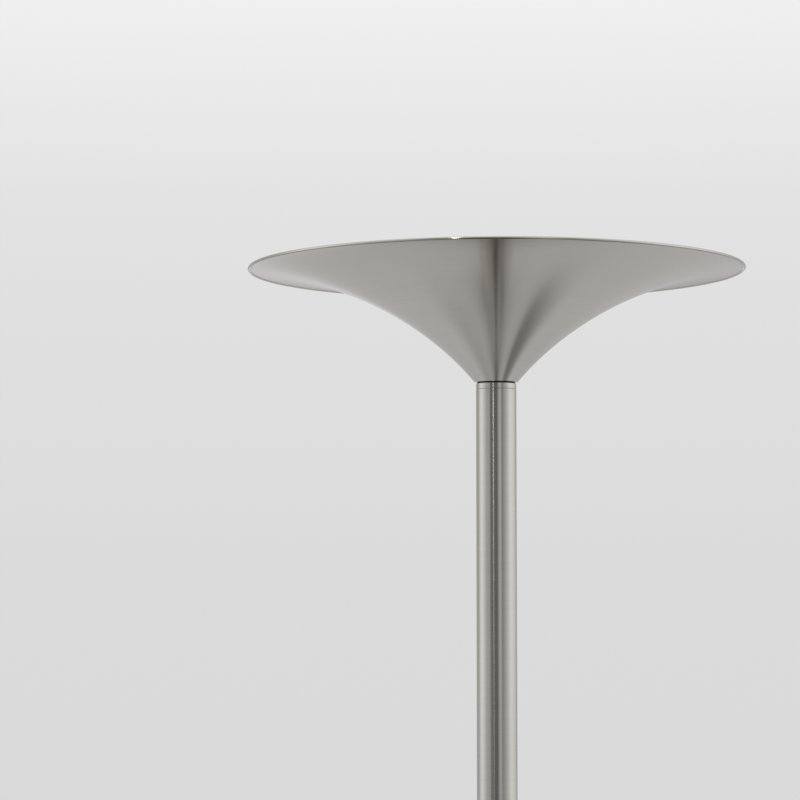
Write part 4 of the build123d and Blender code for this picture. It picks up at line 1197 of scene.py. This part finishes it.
green_board = circuit_board("green_circuit_board", (0.012, 0.10, 0.035), (0.03, 0.19, 0.06))
white_board = circuit_board("white_circuit_board", (0.78, 0.79, 0.78), (0.70, 0.71, 0.69), 120.0)

dress(make_shade(), nickel, "shade", slot="brushed_nickel")
dress(make_reflector(), white_paint, "reflector", slot="white_enamel")
dress(make_diffuser(), opal, "diffuser", body="diffuser", slot="opal_acrylic")
for part in ("pole_lower", "pole_middle", "pole_upper"):
    tube = make_tube(part + "_tube", part)
    if part == "pole_upper":
        dimmer_hole = pin(4.2, 30, (0, -20, DIMMER_Z), ALONG_Y, 48)
        cut(tube, dimmer_hole)
        settle(tube, part + "_tube")
    dress(tube, nickel, part, slot="brushed_nickel")
foot_low = heights("foot_collar")[0]
foot_ring = make_collar("foot_ring", foot_low, foot_low + COLLAR_RING)
dress(foot_ring, nickel, "foot_collar", slot="turned_nickel")
neck_ring_low = heights("neck_collar")[1] - COLLAR_RING
neck_ring = make_collar("neck_ring", neck_ring_low, neck_ring_low - COLLAR_SPIGOT)
dress(neck_ring, nickel, "neck_collar", slot="turned_nickel")

dress(make_base_cover(), nickel, "base_cover", slot="brushed_nickel")
dress(make_base_pad(), black_rubber, "base_pad", slot="black_rubber")
dress(make_base_weight(), iron, "base_weight", slot="cast_iron")
dress(make_gland(), black_nylon, "cord_gland", slot="black_plastic")
dress(make_terminal_block(), white_nylon, "terminal_block", slot="white_plastic")

STUD_RADIUS = 7.0
STUD_PITCH = 1.5
for part in ("base_rod", "head_nipple"):
    rod = make_rod(part + "_thread", part, ROD_RADIUS, ROD_BORE, 1.0)
    dress(rod, zinc, part, slot="zinc_steel")
for part in ("joint_stud_1", "joint_stud_2"):
    rod = make_rod(part + "_thread", part, STUD_RADIUS, 4.5, STUD_PITCH)
    dress(rod, zinc, part, slot="zinc_steel")
for part in ("base_nut", "head_nut"):
    low, high = heights(part)
    dress(make_nut(part + "_hexagon", low, high, 16, ROD_RADIUS), zinc, part, slot="zinc_steel")
near, far = depths("dimmer_nut")
dimmer_nut = make_nut("dimmer_nut_hexagon", near, far, 12, 4.0, "Y", DIMMER_Z)
dress(dimmer_nut, knob_nickel, "dimmer_nut", slot="turned_nickel")
near, far = depths("gland_nut")
gland_nut = make_nut("gland_nut_hexagon", near, far, 14, 5.0, "Y", GLAND_Z)
dress(gland_nut, black_nylon, "gland_nut", slot="black_plastic")
board_screws = make_screws("led_board_screw_set", PLATE_TOP + BOARD_THICK, BOARD_SCREWS)
dress(board_screws, zinc, "led_board_screws", slot="zinc_steel")
reflector_screws = make_screws("reflector_screw_set", PLATE_TOP + FOIL, REFLECTOR_SCREWS)
dress(reflector_screws, zinc, "reflector_screws", slot="zinc_steel")

dress(make_knob(), knob_nickel, "dimmer_knob", body="knob", slot="knob_nickel")
dress(make_pointer(), white_nylon, "knob_pointer", body="knob", slot="white_plastic")
dress(make_heat_sink(), sink, "heat_sink", slot="sink_aluminium")
dress_as_made(make_chips(), "led_chips", slot="led_phosphor")
dress(make_connector(), white_nylon, "led_connector", slot="white_plastic")

for part in ("base_washer", "head_washer", "head_spacer"):
    dress(make_ring(part + "_turning", part, ROD_CLEAR), zinc, part, slot="zinc_steel")
for part in ("foot_gasket", "neck_gasket"):
    dress(make_ring(part + "_moulding", part, ROD_CLEAR), black_rubber, part, slot="black_rubber")
for part in ("insert_lower_top", "insert_middle_bottom", "insert_middle_top", "insert_upper_bottom"):
    bush = make_ring(part + "_bush", part, STUD_RADIUS, 0.4, STUD_PITCH)
    dress(bush, zinc, part, slot="zinc_steel")
for part in ("base_lock_washer", "head_lock_washer"):
    dress(make_lock_washer(part + "_pressing", part), zinc, part, slot="zinc_steel")
dress(make_terminal_screws(), zinc, "terminal_screws", slot="zinc_steel")
dress(make_saddle(), knob_nickel, "dimmer_saddle", slot="turned_nickel")
dress(make_dimmer_body(), black_nylon, "dimmer_body", slot="black_plastic")
dress(make_shaft(), brass, "dimmer_shaft", body="knob", slot="brass_shaft")
dress(make_grub_screw(), black_oxide, "knob_grub_screw", body="knob", slot="black_steel")
dress(make_driver_half("driver_case_moulding", -9, 5, 4), white_nylon, "driver_case", slot="white_plastic")
dress(make_driver_half("driver_lid_moulding", 5, 9, 0), white_nylon, "driver_lid", slot="white_plastic")
dress_as_made(make_driver_board(), "driver_board", slot="circuit_board")
dress_cad(lead_pvc, "mains_lead", "dimmed_lead", "led_lead")
dress_cad(white_board, "led_board")
